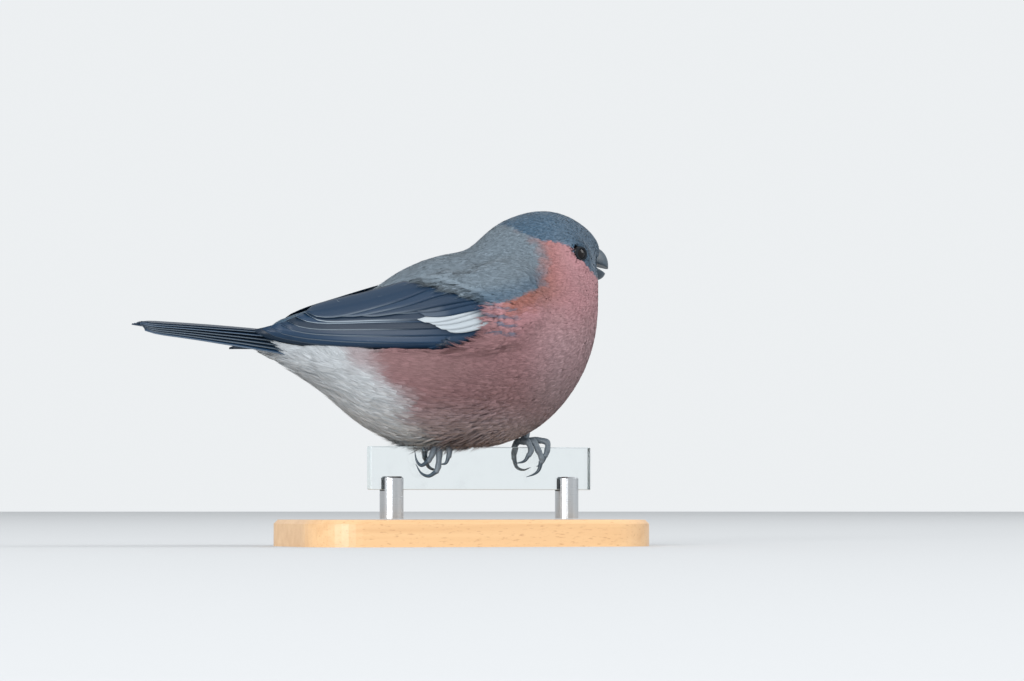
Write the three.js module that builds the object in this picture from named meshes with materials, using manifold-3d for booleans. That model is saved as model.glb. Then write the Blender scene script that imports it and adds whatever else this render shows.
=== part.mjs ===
// A male bullfinch in winter plumage, life size, standing on the rim of a short upright sheet that a plain
// display stand holds. Millimetres, +Z up. The bird faces +X and its left side is +Y.
// The origin is on the stand's underside, straight below the middle of the rim.
import * as THREE from "three";
import { mergeVertices } from "three/addons/utils/BufferGeometryUtils.js";
import Module from "manifold-3d";

const wasm = await Module();
wasm.setup();

// Driving dimensions
const RIM_HEIGHT = 30;
const SEAM_GAP = 0.3;
const PERCH = { length: 74, height: 13, thickness: 3, turn: 8 };
const BASE = { length: 108, width: 62, thickness: 8, centreX: -6, corner: 16, edge: 1.2 };
const ROD = { radius: 3.6, inset: 7.5, grip: 4, chamfer: 0.5 };

// The flesh and the coat over it are one smooth form: ellipsoids given by their middle, half axes and tilt in
// degrees (tail end down), measured from the rim, and melted together over a short distance.
const HEAD = { at: [21.4, 1.2, 58.9], turn: 10, nod: 8 };
const BODY_MELT = 7;
const HEAD_MELT = 4;
const BODY_FORMS = [
  { at: [-7.8, 0, 29.9], half: [37.4, 27.6, 28.3], tilt: 19 },
  { at: [12.2, 0, 32.7], half: [22.1, 23.5, 33.3], tilt: -26 },
  { at: [-32.1, 0, 25.9], half: [27.6, 16.5, 15.6], tilt: -21 },
  { at: [-50.8, 0, 29], half: [24, 8.4, 7], tilt: -13 },
  { at: [12.8, 0, 51.9], half: [13, 16.5, 16.6], tilt: 29 },
];
const HEAD_FORMS = [
  { at: [-0.8, 0, 0], half: [14, 13.5, 13.2], tilt: 0 },
  { at: [6.6, 0, 4.2], half: [11.6, 8.2, 7.2], tilt: -10 },
  { at: [2.4, -6, -5.5], half: [10, 7.2, 8.4], tilt: 0 },
  { at: [2.4, 6, -5.5], half: [10, 7.2, 8.4], tilt: 0 },
];
const BODY_MIDDLE = [2, 0, 34];

// Where the thin cuts part the head from the neck, and the neck from the trunk
const HEAD_CUT = { at: [13.5, 0, 55], lean: 32 };
const NECK_CUT = { at: [7.5, 0, 46.5], lean: 40 };

const EYE = { at: [4.3, 6, 0.7], radius: 2.5, proud: 0.85, lidWidth: 0.42 };
const NOSTRIL = { at: [4.6, 2.7, 4.2], radius: 0.6 };
// Each half of the bill: its length and depth, how blunt its profile is, how far its tip hooks down, and how
// far it is turned open
const BILL = { root: 11.6, level: -0.5, halfWidth: 4.2, palate: 0.25 };
const UPPER_BILL = { side: 1, length: 10.4, depth: 5.6, blunt: 4, hook: 0.6, open: 0 };
const LOWER_BILL = { side: -1, length: 9.9, depth: 3.9, blunt: 3.2, hook: 0, open: 11 };

// The wings' vanes lie in tiers on a form that wraps the flank and runs on over the tail. Its half width, half
// height and middle height are given along the body.
const WRAP = {
  halfWidth: [
    [-80, 3.2], [-70, 6.2], [-60, 9.4], [-50, 13], [-40, 17.8], [-30, 22.6],
    [-20, 26.4], [-8, 28.3], [2, 27.4], [10, 24.2], [18, 19.5],
  ],
  halfHeight: [
    [-80, 3], [-70, 5], [-60, 7.2], [-50, 10.8], [-40, 14.6], [-30, 18.6],
    [-20, 23], [-8, 26], [2, 26.4], [10, 27.4], [18, 28],
  ],
  middle: [[-80, 36.2], [-70, 35.6], [-55, 34.2], [-40, 33.2], [-20, 33], [0, 34.5], [20, 36]],
};
// The left wing is held a little looser, so its tip hangs lower and reaches further out than the right one's.
const LOOSE = { from: -30, drop: 0.0028, spread: 0.0052, reach: 0.08 };
const VANE = { root: 1.5, tip: 0.55, shingle: 0.5, ridge: 0.15 };

// Each tier from its lowest feather to its highest. The first and last root and tip are given by [along the
// body, how high round it in degrees].
const PRIMARIES = {
  count: 7, roots: [[-4, -7], [-8, 14]], tips: [[-72, -20], [-58, 40]],
  width: 6, lift: 0.3, blunt: 0.8, steps: 4,
};
const SECONDARIES = {
  count: 3, roots: [[-8, 15], [-10, 27]], tips: [[-55, 38], [-48, 52]],
  width: 7.4, lift: 0.7, blunt: 0.8, steps: 4,
};
const TERTIALS = {
  count: 3, roots: [[-12, 28], [-14, 46]], tips: [[-46, 34], [-57, 38]],
  width: 8.6, lift: 1.1, blunt: 0.75, steps: 4,
};
const PRIMARY_COVERTS = {
  count: 3, roots: [[10, -3], [10, 5]], tips: [[-17, -7], [-11, 1]],
  width: 5.4, lift: 1.1, blunt: 0.7, steps: 3,
};
const GREATER_COVERTS = {
  count: 6, roots: [[10, 8], [0, 40]], tips: [[-8, 5], [-25, 34]],
  width: 7.2, lift: 1.5, blunt: 0.7, steps: 3,
};
const MEDIAN_COVERTS = {
  count: 4, roots: [[14, 14], [8, 46]], tips: [[2, 12], [-10, 44]],
  width: 9, lift: 2, blunt: 0.65, steps: 3,
};
const WING_TIERS = [PRIMARIES, SECONDARIES, TERTIALS, PRIMARY_COVERTS, GREATER_COVERTS, MEDIAN_COVERTS];
const WING_ARM = { from: 15, to: -48, low: -7, high: [46, 44], sunk: 0.3 };

// Twelve tail feathers, the middle pair on top and a little shorter than the rest. The arch is how far the
// outer ones lie below the middle, at the root and at the tip.
const TAIL = {
  root: [-46, 33.1], slope: 5.2, roll: 8.7, feathers: 12, length: 60, notch: 0.3, half: 7.4, arch: [6.2, 1.7],
  flatten: 0.8, sag: 1.7,
};
const RECTRIX = { width: 7.6, blunt: 0.86, half: 0.27, tip: 0.16, lean: 0.32, ridge: 0.12, steps: 4 };
const TAIL_CORE = { length: 24, half: [3.4, 5.4], thick: [2.4, 1], under: 1.3, steps: 5 };

// The shank comes out of the belly, and the toes straddle the rim at a slant. Toes and claws are given by
// [along the rim, towards the bird's right, height above the rim].
const SHANK_RADII = [1.25, 1.15, 1.3];
const TOE_RADIUS = 1.05;
const CLAW_RADII = [0.62, 0.16];
const FEET = {
  left: {
    shank: [[17.6, -1.6, 11], [16.4, -0.8, 5.6], [14.9, 0, 2]],
    toes: [
      { joints: [[14.9, 0, 1.9], [18.5, 1.2, 2.1], [21.2, 2.9, 1.5], [21.1, 3.4, -1], [20.2, 3.3, -3.2]],
        claw: [[19.5, 3.1, -4.8], [17.7, 2.8, -6.0]] },
      { joints: [[15.1, 0.2, 1.8], [17.1, 2.2, 1.7], [18.1, 3.3, -1], [19.2, 3.4, -3.4], [19, 3.2, -5]],
        claw: [[18.5, 2.9, -6.9], [17.1, 2.6, -8.2], [14.5, 2.3, -9.1]] },
      { joints: [[14.7, 0.2, 1.8], [15.1, 2.2, 1.6], [15.7, 3.2, -0.9], [14.6, 3.2, -3]],
        claw: [[13.5, 2.9, -4.3], [10.8, 2.4, -5]] },
      { joints: [[14.5, -0.3, 1.9], [13.7, -2.4, 1.5], [12.6, -3.1, -1.4], [12.5, -3.1, -4]],
        claw: [[13.3, -2.9, -6], [15.5, -2.7, -6.9], [17.9, -2.5, -6.1]] },
    ],
  },
  right: {
    shank: [[-15.2, -1.2, 7], [-15.4, -0.6, 4.5], [-15.8, 0, 2]],
    toes: [
      { joints: [[-15.8, 0, 1.9], [-16, 2.4, 1.5], [-17.4, 3.3, -2], [-19.2, 3.3, -5]],
        claw: [[-21, 3, -5.7], [-22.5, 2.7, -4.2], [-23, 2.4, -1.2]] },
      { joints: [[-15.6, 0.2, 1.9], [-15, 2.6, 1.3], [-15.4, 3.6, -2.4], [-15.8, 3.7, -6], [-16.6, 3.6, -8.1]],
        claw: [[-18.8, 3.3, -8.9], [-21.2, 3, -7.9], [-22.8, 2.7, -5.2]] },
      { joints: [[-15.2, 0.2, 1.9], [-13.4, 2.6, 1.4], [-12.4, 4.3, -1], [-12.8, 4.6, -3.6]],
        claw: [[-13.6, 4.4, -5], [-15.4, 4, -5.4]] },
      { joints: [[-16, -0.3, 1.9], [-16.8, -2.4, 1.5], [-17.6, -3.1, -1.4], [-17.4, -3.1, -4]],
        claw: [[-16.4, -2.9, -6], [-14.4, -2.7, -6.9], [-12.2, -2.5, -6.1]] },
    ],
  },
};

const COLOURS = {
  cap: { color: 0x14181f, roughness: 0.5, metalness: 0 },
  nape: { color: 0x6b7782, roughness: 0.85, metalness: 0 },
  breast: { color: 0xa85a55, roughness: 0.9, metalness: 0 },
  flight: { color: 0x1b222d, roughness: 0.45, metalness: 0 },
  bill: { color: 0x1d1f22, roughness: 0.4, metalness: 0 },
  leg: { color: 0x3a3634, roughness: 0.6, metalness: 0 },
  eye: { color: 0x070606, roughness: 0.08, metalness: 0 },
  sheet: { color: 0xe6eef0, roughness: 0.1, metalness: 0 },
  wood: { color: 0xc7a57c, roughness: 0.55, metalness: 0 },
  steel: { color: 0xb9bcc0, roughness: 0.3, metalness: 1 },
};

const radians = (degrees) => (degrees * Math.PI) / 180;
const mix = (a, b, t) => a + (b - a) * t;

// A repeatable run of numbers from 0 to 1, so that no two feathers are alike
function draws(seed) {
  let state = seed;
  return () => {
    state = (state * 1664525 + 1013904223) % 4294967296;
    return state / 4294967296;
  };
}

// A smooth line through knots [place, value], level beyond its ends
function through(knots) {
  const slope = knots.map((k, i) => {
    const before = knots[Math.max(i - 1, 0)];
    const after = knots[Math.min(i + 1, knots.length - 1)];
    return (after[1] - before[1]) / (after[0] - before[0]);
  });
  return (x) => {
    if (x <= knots[0][0]) return knots[0][1];
    const i = knots.findIndex((k) => k[0] >= x);
    if (i < 0) return knots[knots.length - 1][1];
    const [a, b] = [knots[i - 1], knots[i]];
    const span = b[0] - a[0];
    const t = (x - a[0]) / span;
    const rise = t * t * (3 - 2 * t);
    const startPull = t * (1 - t) * (1 - t) * slope[i - 1] * span;
    const endPull = -t * t * (1 - t) * slope[i] * span;
    return mix(a[1], b[1], rise) + startPull + endPull;
  };
}

// Solids

// A closed solid from triangles given by shared points
function solidFrom(points, triangles) {
  return new wasm.Manifold(
    new wasm.Mesh({
      numProp: 3,
      vertProperties: new Float32Array(points.flat()),
      triVerts: new Uint32Array(triangles.flat()),
    }),
  );
}

// The same, turned right side out where its triangles face inwards
function outwards(points, triangles) {
  const made = solidFrom(points, triangles);
  return made.volume() > 0 ? made : solidFrom(points, triangles.map(([a, b, c]) => [a, c, b]));
}

function solidOf(geometry) {
  const plain = geometry.index ? geometry.toNonIndexed() : geometry;
  const bare = new THREE.BufferGeometry().setAttribute("position", plain.getAttribute("position"));
  const merged = mergeVertices(bare, 1e-4);
  return new wasm.Manifold(
    new wasm.Mesh({
      numProp: 3,
      vertProperties: merged.attributes.position.array,
      triVerts: new Uint32Array(merged.index.array),
    }),
  );
}

// The largest closed surface of a solid, which leaves out loose scraps and sealed hollows
function largest(solid) {
  const pieces = solid.decompose();
  pieces.sort((a, b) => b.volume() - a.volume());
  return pieces[0];
}

const joined = (solids) => solids.reduce((whole, next) => whole.add(next));

function geometryOf(solid) {
  const mesh = solid.getMesh();
  const positions = new Float32Array(mesh.numVert * 3);
  for (let i = 0; i < mesh.numVert; i++) {
    positions.set(mesh.vertProperties.subarray(i * mesh.numProp, i * mesh.numProp + 3), i * 3);
  }
  return new THREE.BufferGeometry()
    .setAttribute("position", new THREE.BufferAttribute(positions, 3))
    .setIndex(new THREE.BufferAttribute(mesh.triVerts, 1));
}

// A closed solid through rings of points, with a flat end at each
function loft(rings) {
  const sides = rings[0].length;
  const steps = rings.length - 1;
  const triangles = [];
  for (let i = 0; i < steps; i++) {
    for (let j = 0; j < sides; j++) {
      const a = i * sides + j;
      const b = i * sides + ((j + 1) % sides);
      triangles.push([a, b, b + sides], [a, b + sides, a + sides]);
    }
  }
  const end = steps * sides;
  for (let j = 1; j + 1 < sides; j++) triangles.push([0, j + 1, j], [end, end + j, end + j + 1]);
  return outwards(rings.flat(), triangles);
}

// A tapering round tube along points
function tube(points, radii, sides, steps) {
  const curve = new THREE.CatmullRomCurve3(points.map((p) => new THREE.Vector3(...p)), false, "centripetal");
  const radius = through(radii.map((r, i) => [i / (radii.length - 1), r]));
  const frames = curve.computeFrenetFrames(steps, false);
  const rings = Array.from({ length: steps + 1 }, (_, i) => {
    const middle = curve.getPoint(i / steps);
    return Array.from({ length: sides }, (_, j) => {
      const angle = (2 * Math.PI * j) / sides;
      const out = frames.normals[i].clone().multiplyScalar(Math.cos(angle));
      out.addScaledVector(frames.binormals[i], Math.sin(angle));
      return middle.clone().addScaledVector(out, radius(i / steps)).toArray();
    });
  });
  return loft(rings);
}

// A thin blade over a grid of [point, outward direction, half thickness], each row running across it
function blade(rows) {
  const across = rows[0].length;
  const count = rows.length * across;
  const face = (side) =>
    rows.flat().map(({ at, out, half }) => at.map((value, k) => value + side * half * out[k]));
  const points = [...face(1), ...face(-1)];
  const triangles = [];
  const quad = (a, b, c, d) => triangles.push([a, b, c], [a, c, d]);
  for (let i = 0; i + 1 < rows.length; i++) {
    for (let j = 0; j + 1 < across; j++) {
      const a = i * across + j;
      const [b, c, d] = [a + 1, a + across + 1, a + across];
      quad(a, b, c, d);
      triangles.push([a + count, c + count, b + count], [a + count, d + count, c + count]);
    }
    const [left, right] = [i * across, i * across + across - 1];
    quad(left, left + across, left + across + count, left + count);
    quad(right, right + count, right + across + count, right + across);
  }
  const last = (rows.length - 1) * across;
  for (let j = 0; j + 1 < across; j++) {
    quad(j, j + count, j + 1 + count, j + 1);
    quad(last + j, last + j + 1, last + j + 1 + count, last + j + count);
  }
  return outwards(points, triangles);
}

// The bird's smooth form

const headFrame = new THREE.Matrix4()
  .makeTranslation(...HEAD.at)
  .multiply(new THREE.Matrix4().makeRotationZ(radians(HEAD.turn)))
  .multiply(new THREE.Matrix4().makeRotationY(radians(HEAD.nod)));

const inHead = (point) => new THREE.Vector3(...point).applyMatrix4(headFrame).toArray();

function readyForms(forms, frame) {
  return forms.map(({ at, half, tilt }) => {
    const place = frame
      .clone()
      .multiply(new THREE.Matrix4().makeTranslation(...at))
      .multiply(new THREE.Matrix4().makeRotationY(radians(-tilt)));
    return { inverse: place.invert(), half };
  });
}

const bodyForms = readyForms(BODY_FORMS, new THREE.Matrix4());
const headForms = readyForms(HEAD_FORMS, headFrame);

// About how far a point lies outside an ellipsoid, less than nothing inside it
function beyond(point, { inverse, half }) {
  const local = new THREE.Vector3(...point).applyMatrix4(inverse).toArray();
  const once = Math.hypot(...local.map((value, k) => value / half[k]));
  const twice = Math.hypot(...local.map((value, k) => value / (half[k] * half[k])));
  return twice < 1e-9 ? -Math.min(...half) : (once * (once - 1)) / twice;
}

function melt(a, b, width) {
  const near = Math.max(width - Math.abs(a - b), 0) / width;
  return Math.min(a, b) - (near * near * width) / 4;
}

function birdForm(point) {
  const body = bodyForms.map((form) => beyond(point, form)).reduce((a, b) => melt(a, b, BODY_MELT));
  const head = headForms.map((form) => beyond(point, form)).reduce((a, b) => melt(a, b, HEAD_MELT));
  return melt(body, head, BODY_MELT);
}

// The form's surface as seen from one inner point, pushed out by a margin
function formFrom(middle, detail, margin) {
  const sphere = mergeVertices(
    new THREE.BufferGeometry().setAttribute(
      "position",
      new THREE.IcosahedronGeometry(1, detail).getAttribute("position"),
    ),
    1e-4,
  );
  const place = sphere.getAttribute("position");
  const points = [];
  for (let i = 0; i < place.count; i++) {
    const out = new THREE.Vector3().fromBufferAttribute(place, i).normalize();
    const at = (r) => middle.map((value, k) => value + r * out.getComponent(k));
    let low = 1;
    while (birdForm(at(low + 1.5)) < margin) low += 1.5;
    let high = low + 1.5;
    for (let step = 0; step < 18; step++) {
      const half = (low + high) / 2;
      if (birdForm(at(half)) < margin) low = half;
      else high = half;
    }
    points.push(at(low));
  }
  const index = sphere.index.array;
  const triangles = [];
  for (let i = 0; i < index.length; i += 3) triangles.push([index[i], index[i + 1], index[i + 2]]);
  return solidFrom(points, triangles);
}

// A large block whose lower face is a cut, leaning back from the vertical
function beyondCut({ at, lean }, shift) {
  const size = 200;
  const box = new THREE.BoxGeometry(size, size, size);
  box.translate(size / 2 + shift, 0, 0);
  box.rotateY(radians(-lean));
  box.translate(...at);
  return solidOf(box);
}

const trunkShape = formFrom(BODY_MIDDLE, 10, 0);
const headShape = formFrom(inHead([0, 0, 0]), 9, 0);
const clearOfTrunk = formFrom(BODY_MIDDLE, 10, SEAM_GAP + 0.15);

const half = SEAM_GAP / 2;
const wholeHead = largest(headShape.intersect(beyondCut(HEAD_CUT, half)));
const neckAndHead = trunkShape.intersect(beyondCut(NECK_CUT, half));
const neckShape = largest(neckAndHead.subtract(beyondCut(HEAD_CUT, -half)));
const wholeTrunk = largest(trunkShape.subtract(beyondCut(NECK_CUT, -half)));

// Head: eye sockets with lids, and the face that the bill meets

function ball(at, radius, detail) {
  const sphere = new THREE.IcosahedronGeometry(radius, detail);
  sphere.translate(...at);
  return solidOf(sphere);
}

// Which way the smooth form faces at a point
function facing(point) {
  const step = 0.2;
  const slopes = point.map((value, k) => {
    const [before, after] = [[...point], [...point]];
    before[k] = value - step;
    after[k] = value + step;
    return birdForm(after) - birdForm(before);
  });
  return new THREE.Vector3(...slopes).normalize();
}

// Each eye's middle lies inwards of the face by its radius less what stands proud
function eyePlace(side) {
  const [x, y, z] = EYE.at;
  let across = y;
  while (birdForm(inHead([x, side * across, z])) < 0) across += 0.05;
  const face = inHead([x, side * across, z]);
  const out = facing(face);
  const middle = new THREE.Vector3(...face).addScaledVector(out, EYE.proud - EYE.radius).toArray();
  return { middle, out, face };
}

function lids(side) {
  const { face, out } = eyePlace(side);
  const rise = EYE.radius - EYE.proud;
  const ring = Math.sqrt(EYE.radius * EYE.radius - rise * rise) + EYE.lidWidth * 0.6;
  const torus = new THREE.TorusGeometry(ring, EYE.lidWidth, 5, 18);
  const turn = new THREE.Quaternion().setFromUnitVectors(new THREE.Vector3(0, 0, 1), out);
  torus.applyQuaternion(turn);
  torus.translate(...face);
  return solidOf(torus);
}

// Bill

// A ring of the bill's outline at t from root to tip: over the outer face from one cutting edge to the other,
// then back along the hollowed inner face
function billRing(shape, t) {
  const width = BILL.halfWidth * Math.sqrt(Math.max(1 - Math.pow(t, 2.2), 0.006));
  const depth = shape.depth * Math.sqrt(Math.max(1 - Math.pow(t, shape.blunt), 0.006));
  const edge = SEAM_GAP / 2 - shape.hook * Math.pow(t, 4);
  const outer = [0, 30, 60, 90, 120, 150, 180].map((turn) => {
    const angle = radians(turn);
    return [width * Math.cos(angle), edge + depth * Math.sin(angle)];
  });
  const inner = [-0.6, 0, 0.6].map((across) => [across * width, edge + BILL.palate * (1 - t)]);
  const open = radians(shape.open);
  return [...outer, ...inner].map(([y, z]) => {
    const along = t * shape.length;
    const x = BILL.root + along * Math.cos(open) - z * Math.sin(open);
    const up = shape.side * z * Math.cos(open) - along * Math.sin(open);
    return inHead([x, y, BILL.level + up]);
  });
}

function billHalf(shape) {
  const steps = 8;
  const rings = Array.from({ length: steps + 1 }, (_, i) => billRing(shape, 1 - Math.pow(1 - i / steps, 1.5)));
  return loft(rings);
}

const clearOfHead = formFrom(inHead([0, 0, 0]), 9, SEAM_GAP);
const nostrils = joined(
  [-1, 1].map((side) => {
    const [along, across, up] = NOSTRIL.at;
    return ball(inHead([BILL.root + along, side * across, BILL.level + up]), NOSTRIL.radius, 1);
  }),
);
const upperBill = largest(billHalf(UPPER_BILL).subtract(clearOfHead).subtract(nostrils));
const lowerBill = largest(billHalf(LOWER_BILL).subtract(clearOfHead));

const eyes = [-1, 1].map(eyePlace);
const eyeballs = eyes.map(({ middle }) => ball(middle, EYE.radius, 2));
const sockets = eyes.map(({ middle }) => ball(middle, EYE.radius + SEAM_GAP, 2));
const head = largest(
  [-1, 1].reduce((whole, side) => whole.add(lids(side)), wholeHead).subtract(joined(sockets)),
);

// Wings

const wrapHalfWidth = through(WRAP.halfWidth);
const wrapHalfHeight = through(WRAP.halfHeight);
const wrapMiddle = through(WRAP.middle);

// A point on the wing's form, lifted off it by a distance
function onWing(side, x, angle, lift) {
  const bend = radians(angle);
  const back = side > 0 ? Math.max(LOOSE.from - x, 0) : 0;
  const y = (wrapHalfWidth(x) + lift) * Math.cos(bend) + back * back * LOOSE.spread;
  const z = wrapMiddle(x) + (wrapHalfHeight(x) + lift) * Math.sin(bend) - back * back * LOOSE.drop;
  return [x - back * LOOSE.reach, side * y, z];
}

function wingPoint(side, x, angle, lift, half) {
  const at = new THREE.Vector3(...onWing(side, x, angle, lift));
  const outer = new THREE.Vector3(...onWing(side, x, angle, lift + 1));
  return { at: at.toArray(), out: outer.sub(at).normalize().toArray(), half };
}

// How far a feather's width is drawn in near its tip
function rounding(t, blunt) {
  const beyondBlunt = Math.max((t - blunt) / (1 - blunt), 0);
  return Math.sqrt(Math.max(1 - beyondBlunt * beyondBlunt, 0.04));
}

// One flight feather or covert from its root to its tip. Its lower edge stands off the one below it, and it is
// thickest where it is rooted.
function vane(side, root, tip, { width, lift, blunt, steps }) {
  const rows = [];
  for (let i = 0; i <= steps; i++) {
    const t = i / steps;
    const x = mix(root[0], tip[0], t);
    const angle = mix(root[1], tip[1], t);
    const halfWidth = (width / 2) * mix(0.8, 1, Math.min(t * 2.5, 1)) * rounding(t, blunt);
    const turn = THREE.MathUtils.radToDeg((2 * halfWidth) / (wrapHalfWidth(x) + wrapHalfHeight(x)));
    const thickness = mix(VANE.root, VANE.tip, t);
    rows.push(
      [-1, 0, 1].map((across) => {
        const raised = lift * mix(1, 0.6, t) - across * VANE.shingle + (across === 0 ? VANE.ridge : 0);
        const level = raised - (thickness - VANE.tip) / 2;
        return wingPoint(side, x, angle + across * turn, level, thickness / 2);
      }),
    );
  }
  return blade(rows);
}

// The arm and the feathers' roots under the tiers
function wingCore(side) {
  const { from, to, low, high, sunk } = WING_ARM;
  const steps = 8;
  const rows = [];
  for (let i = 0; i <= steps; i++) {
    const t = i / steps;
    const deep = mix(0.5, 1.5, Math.sin(Math.PI * mix(0.15, 0.9, t)));
    rows.push(
      [0, 0.25, 0.5, 0.75, 1].map((up) => {
        const edge = mix(0.45, 1, Math.sin(Math.PI * mix(0.12, 0.88, up)));
        const angle = mix(low, mix(...high, t), up);
        return wingPoint(side, mix(from, to, t), angle, -sunk, deep * edge);
      }),
    );
  }
  return blade(rows);
}

function wing(side) {
  const draw = draws(side > 0 ? 11 : 29);
  const vary = (size) => (draw() - 0.5) * size;
  const pieces = [wingCore(side)];
  for (const tier of WING_TIERS) {
    for (let i = 0; i < tier.count; i++) {
      const t = i / (tier.count - 1);
      const root = tier.roots[0].map((value, k) => mix(value, tier.roots[1][k], t));
      const tip = tier.tips[0].map((value, k) => mix(value, tier.tips[1][k], t) + vary(1));
      pieces.push(vane(side, root, tip, tier));
    }
  }
  return joined(pieces);
}

// Tail

function tailFeather(number) {
  const last = (TAIL.feathers - 1) / 2;
  const spread = (number - last) / last;
  const aside = Math.abs(spread);
  const length = TAIL.length - TAIL.notch * (1 - aside);
  const rows = [];
  for (let i = 0; i <= RECTRIX.steps; i++) {
    const t = i / RECTRIX.steps;
    const halfWidth = (RECTRIX.width / 2) * mix(0.5, 1, Math.min(t * 1.6, 1)) * rounding(t, RECTRIX.blunt);
    const middle = spread * TAIL.half * mix(0.35, 1, t);
    const level = -aside * mix(...TAIL.arch, Math.pow(t, TAIL.flatten)) - TAIL.sag * t * t;
    const half = i < RECTRIX.steps ? RECTRIX.half : RECTRIX.tip;
    rows.push(
      [-1, 0, 1].map((across) => {
        const raised = (across === 0 ? RECTRIX.ridge : 0) - RECTRIX.lean * across * Math.sign(spread);
        return { at: [-t * length, middle + across * halfWidth, level + raised], out: [0, 0, 1], half };
      }),
    );
  }
  return blade(rows);
}

// The feathers' roots under the tail coverts
function tailCore() {
  const { length, half, thick, under, steps } = TAIL_CORE;
  const rows = [];
  for (let i = 0; i <= steps; i++) {
    const t = i / steps;
    rows.push(
      [-1, -0.5, 0, 0.5, 1].map((across) => ({
        at: [-t * length, across * mix(...half, t), -under - Math.abs(across) * 2.2],
        out: [0, 0, 1],
        half: mix(...thick, t) * mix(1, 0.6, Math.abs(across)),
      })),
    );
  }
  return blade(rows);
}

const tailFrame = new THREE.Matrix4()
  .makeTranslation(TAIL.root[0], 0, TAIL.root[1])
  .multiply(new THREE.Matrix4().makeRotationY(radians(TAIL.slope)))
  .multiply(new THREE.Matrix4().makeRotationX(radians(TAIL.roll)));
const feathers = Array.from({ length: TAIL.feathers }, (_, number) => tailFeather(number));
const tailWhole = joined([tailCore(), ...feathers]).transform(tailFrame.elements);

// Perch, rods and base

const perchTurn = radians(PERCH.turn);
// A place by how far it lies along the rim, how far towards the bird's right side of it, and its height
function onPerch(along, near, up) {
  const [c, s] = [Math.cos(perchTurn), Math.sin(perchTurn)];
  return [along * c + near * s, along * s - near * c, up];
}

function block(length, width, height, at) {
  const box = new THREE.BoxGeometry(length, width, height);
  box.rotateZ(perchTurn);
  box.translate(...at);
  return solidOf(box);
}

const sheetShape = block(PERCH.length, PERCH.thickness, PERCH.height, [0, 0, -PERCH.height / 2]);
const slotShape = block(
  PERCH.length + 2 * SEAM_GAP,
  PERCH.thickness + 2 * SEAM_GAP,
  PERCH.height + 2 * SEAM_GAP,
  [0, 0, -PERCH.height / 2],
);

function rod(at, low, high) {
  const { radius, chamfer } = ROD;
  const profile = [
    [0, low],
    [radius, low],
    [radius, high - chamfer],
    [radius - chamfer, high],
    [0, high],
  ].map(([x, y]) => new THREE.Vector2(x, y));
  const bar = new THREE.LatheGeometry(profile, 28);
  bar.rotateX(Math.PI / 2);
  bar.translate(at[0], at[1], 0);
  return solidOf(bar);
}

const baseTop = -RIM_HEIGHT + BASE.thickness;
const rodPlaces = [-1, 1].map((end) => onPerch(end * (PERCH.length / 2 - ROD.inset), 0, 0));
const rods = rodPlaces.map((at) => {
  return largest(rod(at, baseTop + SEAM_GAP, -PERCH.height + ROD.grip).subtract(slotShape));
});

function basePlate() {
  const outline = new THREE.Shape();
  const [a, b, r] = [BASE.length / 2, BASE.width / 2, BASE.corner];
  outline.moveTo(-a + r, -b);
  outline.lineTo(a - r, -b);
  outline.absarc(a - r, -b + r, r, -Math.PI / 2, 0, false);
  outline.absarc(a - r, b - r, r, 0, Math.PI / 2, false);
  outline.absarc(-a + r, b - r, r, Math.PI / 2, Math.PI, false);
  outline.absarc(-a + r, -b + r, r, Math.PI, 1.5 * Math.PI, false);
  const plate = new THREE.ExtrudeGeometry(outline, {
    depth: BASE.thickness - BASE.edge,
    bevelThickness: BASE.edge,
    bevelSize: BASE.edge,
    bevelOffset: -BASE.edge,
    bevelSegments: 1,
    curveSegments: 6,
  });
  // The plate keeps its full outline down to the floor: only its upper rim is rounded.
  plate.translate(BASE.centreX, 0, -RIM_HEIGHT);
  const cutter = new THREE.BoxGeometry(400, 400, 40);
  cutter.translate(0, 0, -RIM_HEIGHT - 20);
  return solidOf(plate).subtract(solidOf(cutter));
}

// Legs

function legShape({ shank, toes }, spare) {
  const place = (point) => onPerch(...point);
  const pieces = [tube(shank.map(place), SHANK_RADII.map((r) => r + spare), 8, 5)];
  for (const { joints, claw } of toes) {
    const last = joints.length - 1;
    const radii = joints.map((_, i) => TOE_RADIUS * (i % 2 ? 0.98 : 1.04) * mix(1.08, 0.86, i / last) + spare);
    pieces.push(tube(joints.map(place), radii, 6, joints.length * 2 - 1));
    if (spare > 0) continue;
    const start = joints[last].map((value, k) => mix(joints[last - 1][k], value, 0.72));
    const path = [start, ...claw].map(place);
    pieces.push(tube(path, path.map((_, i) => mix(...CLAW_RADII, i / (path.length - 1))), 5, 6));
  }
  return joined(pieces);
}

// Only the shank and the toes' tops reach the belly, so its pockets need no claws.
const legs = [FEET.left, FEET.right].map((foot) => legShape(foot, 0));
const legPockets = [FEET.left, FEET.right].map((foot) => legShape(foot, SEAM_GAP + 0.05));

// Fitting: each node is cut clear of the one that it grows from

const trunk = largest(wholeTrunk.subtract(joined(legPockets)));
const tail = largest(tailWhole.subtract(clearOfTrunk));
const clearOfTail = joined([-0.4, 0, 0.4].map((up) => tailWhole.translate([0, 0, up])));
const wings = [-1, 1].map((side) => largest(wing(side).subtract(clearOfTrunk).subtract(clearOfTail)));
const cutLegs = legs.map((leg) => largest(leg.subtract(slotShape)));

// The scene graph

function node(name, solid, finish) {
  const mesh = new THREE.Mesh(geometryOf(solid), new THREE.MeshStandardMaterial(COLOURS[finish]));
  mesh.name = name;
  return mesh;
}

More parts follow.
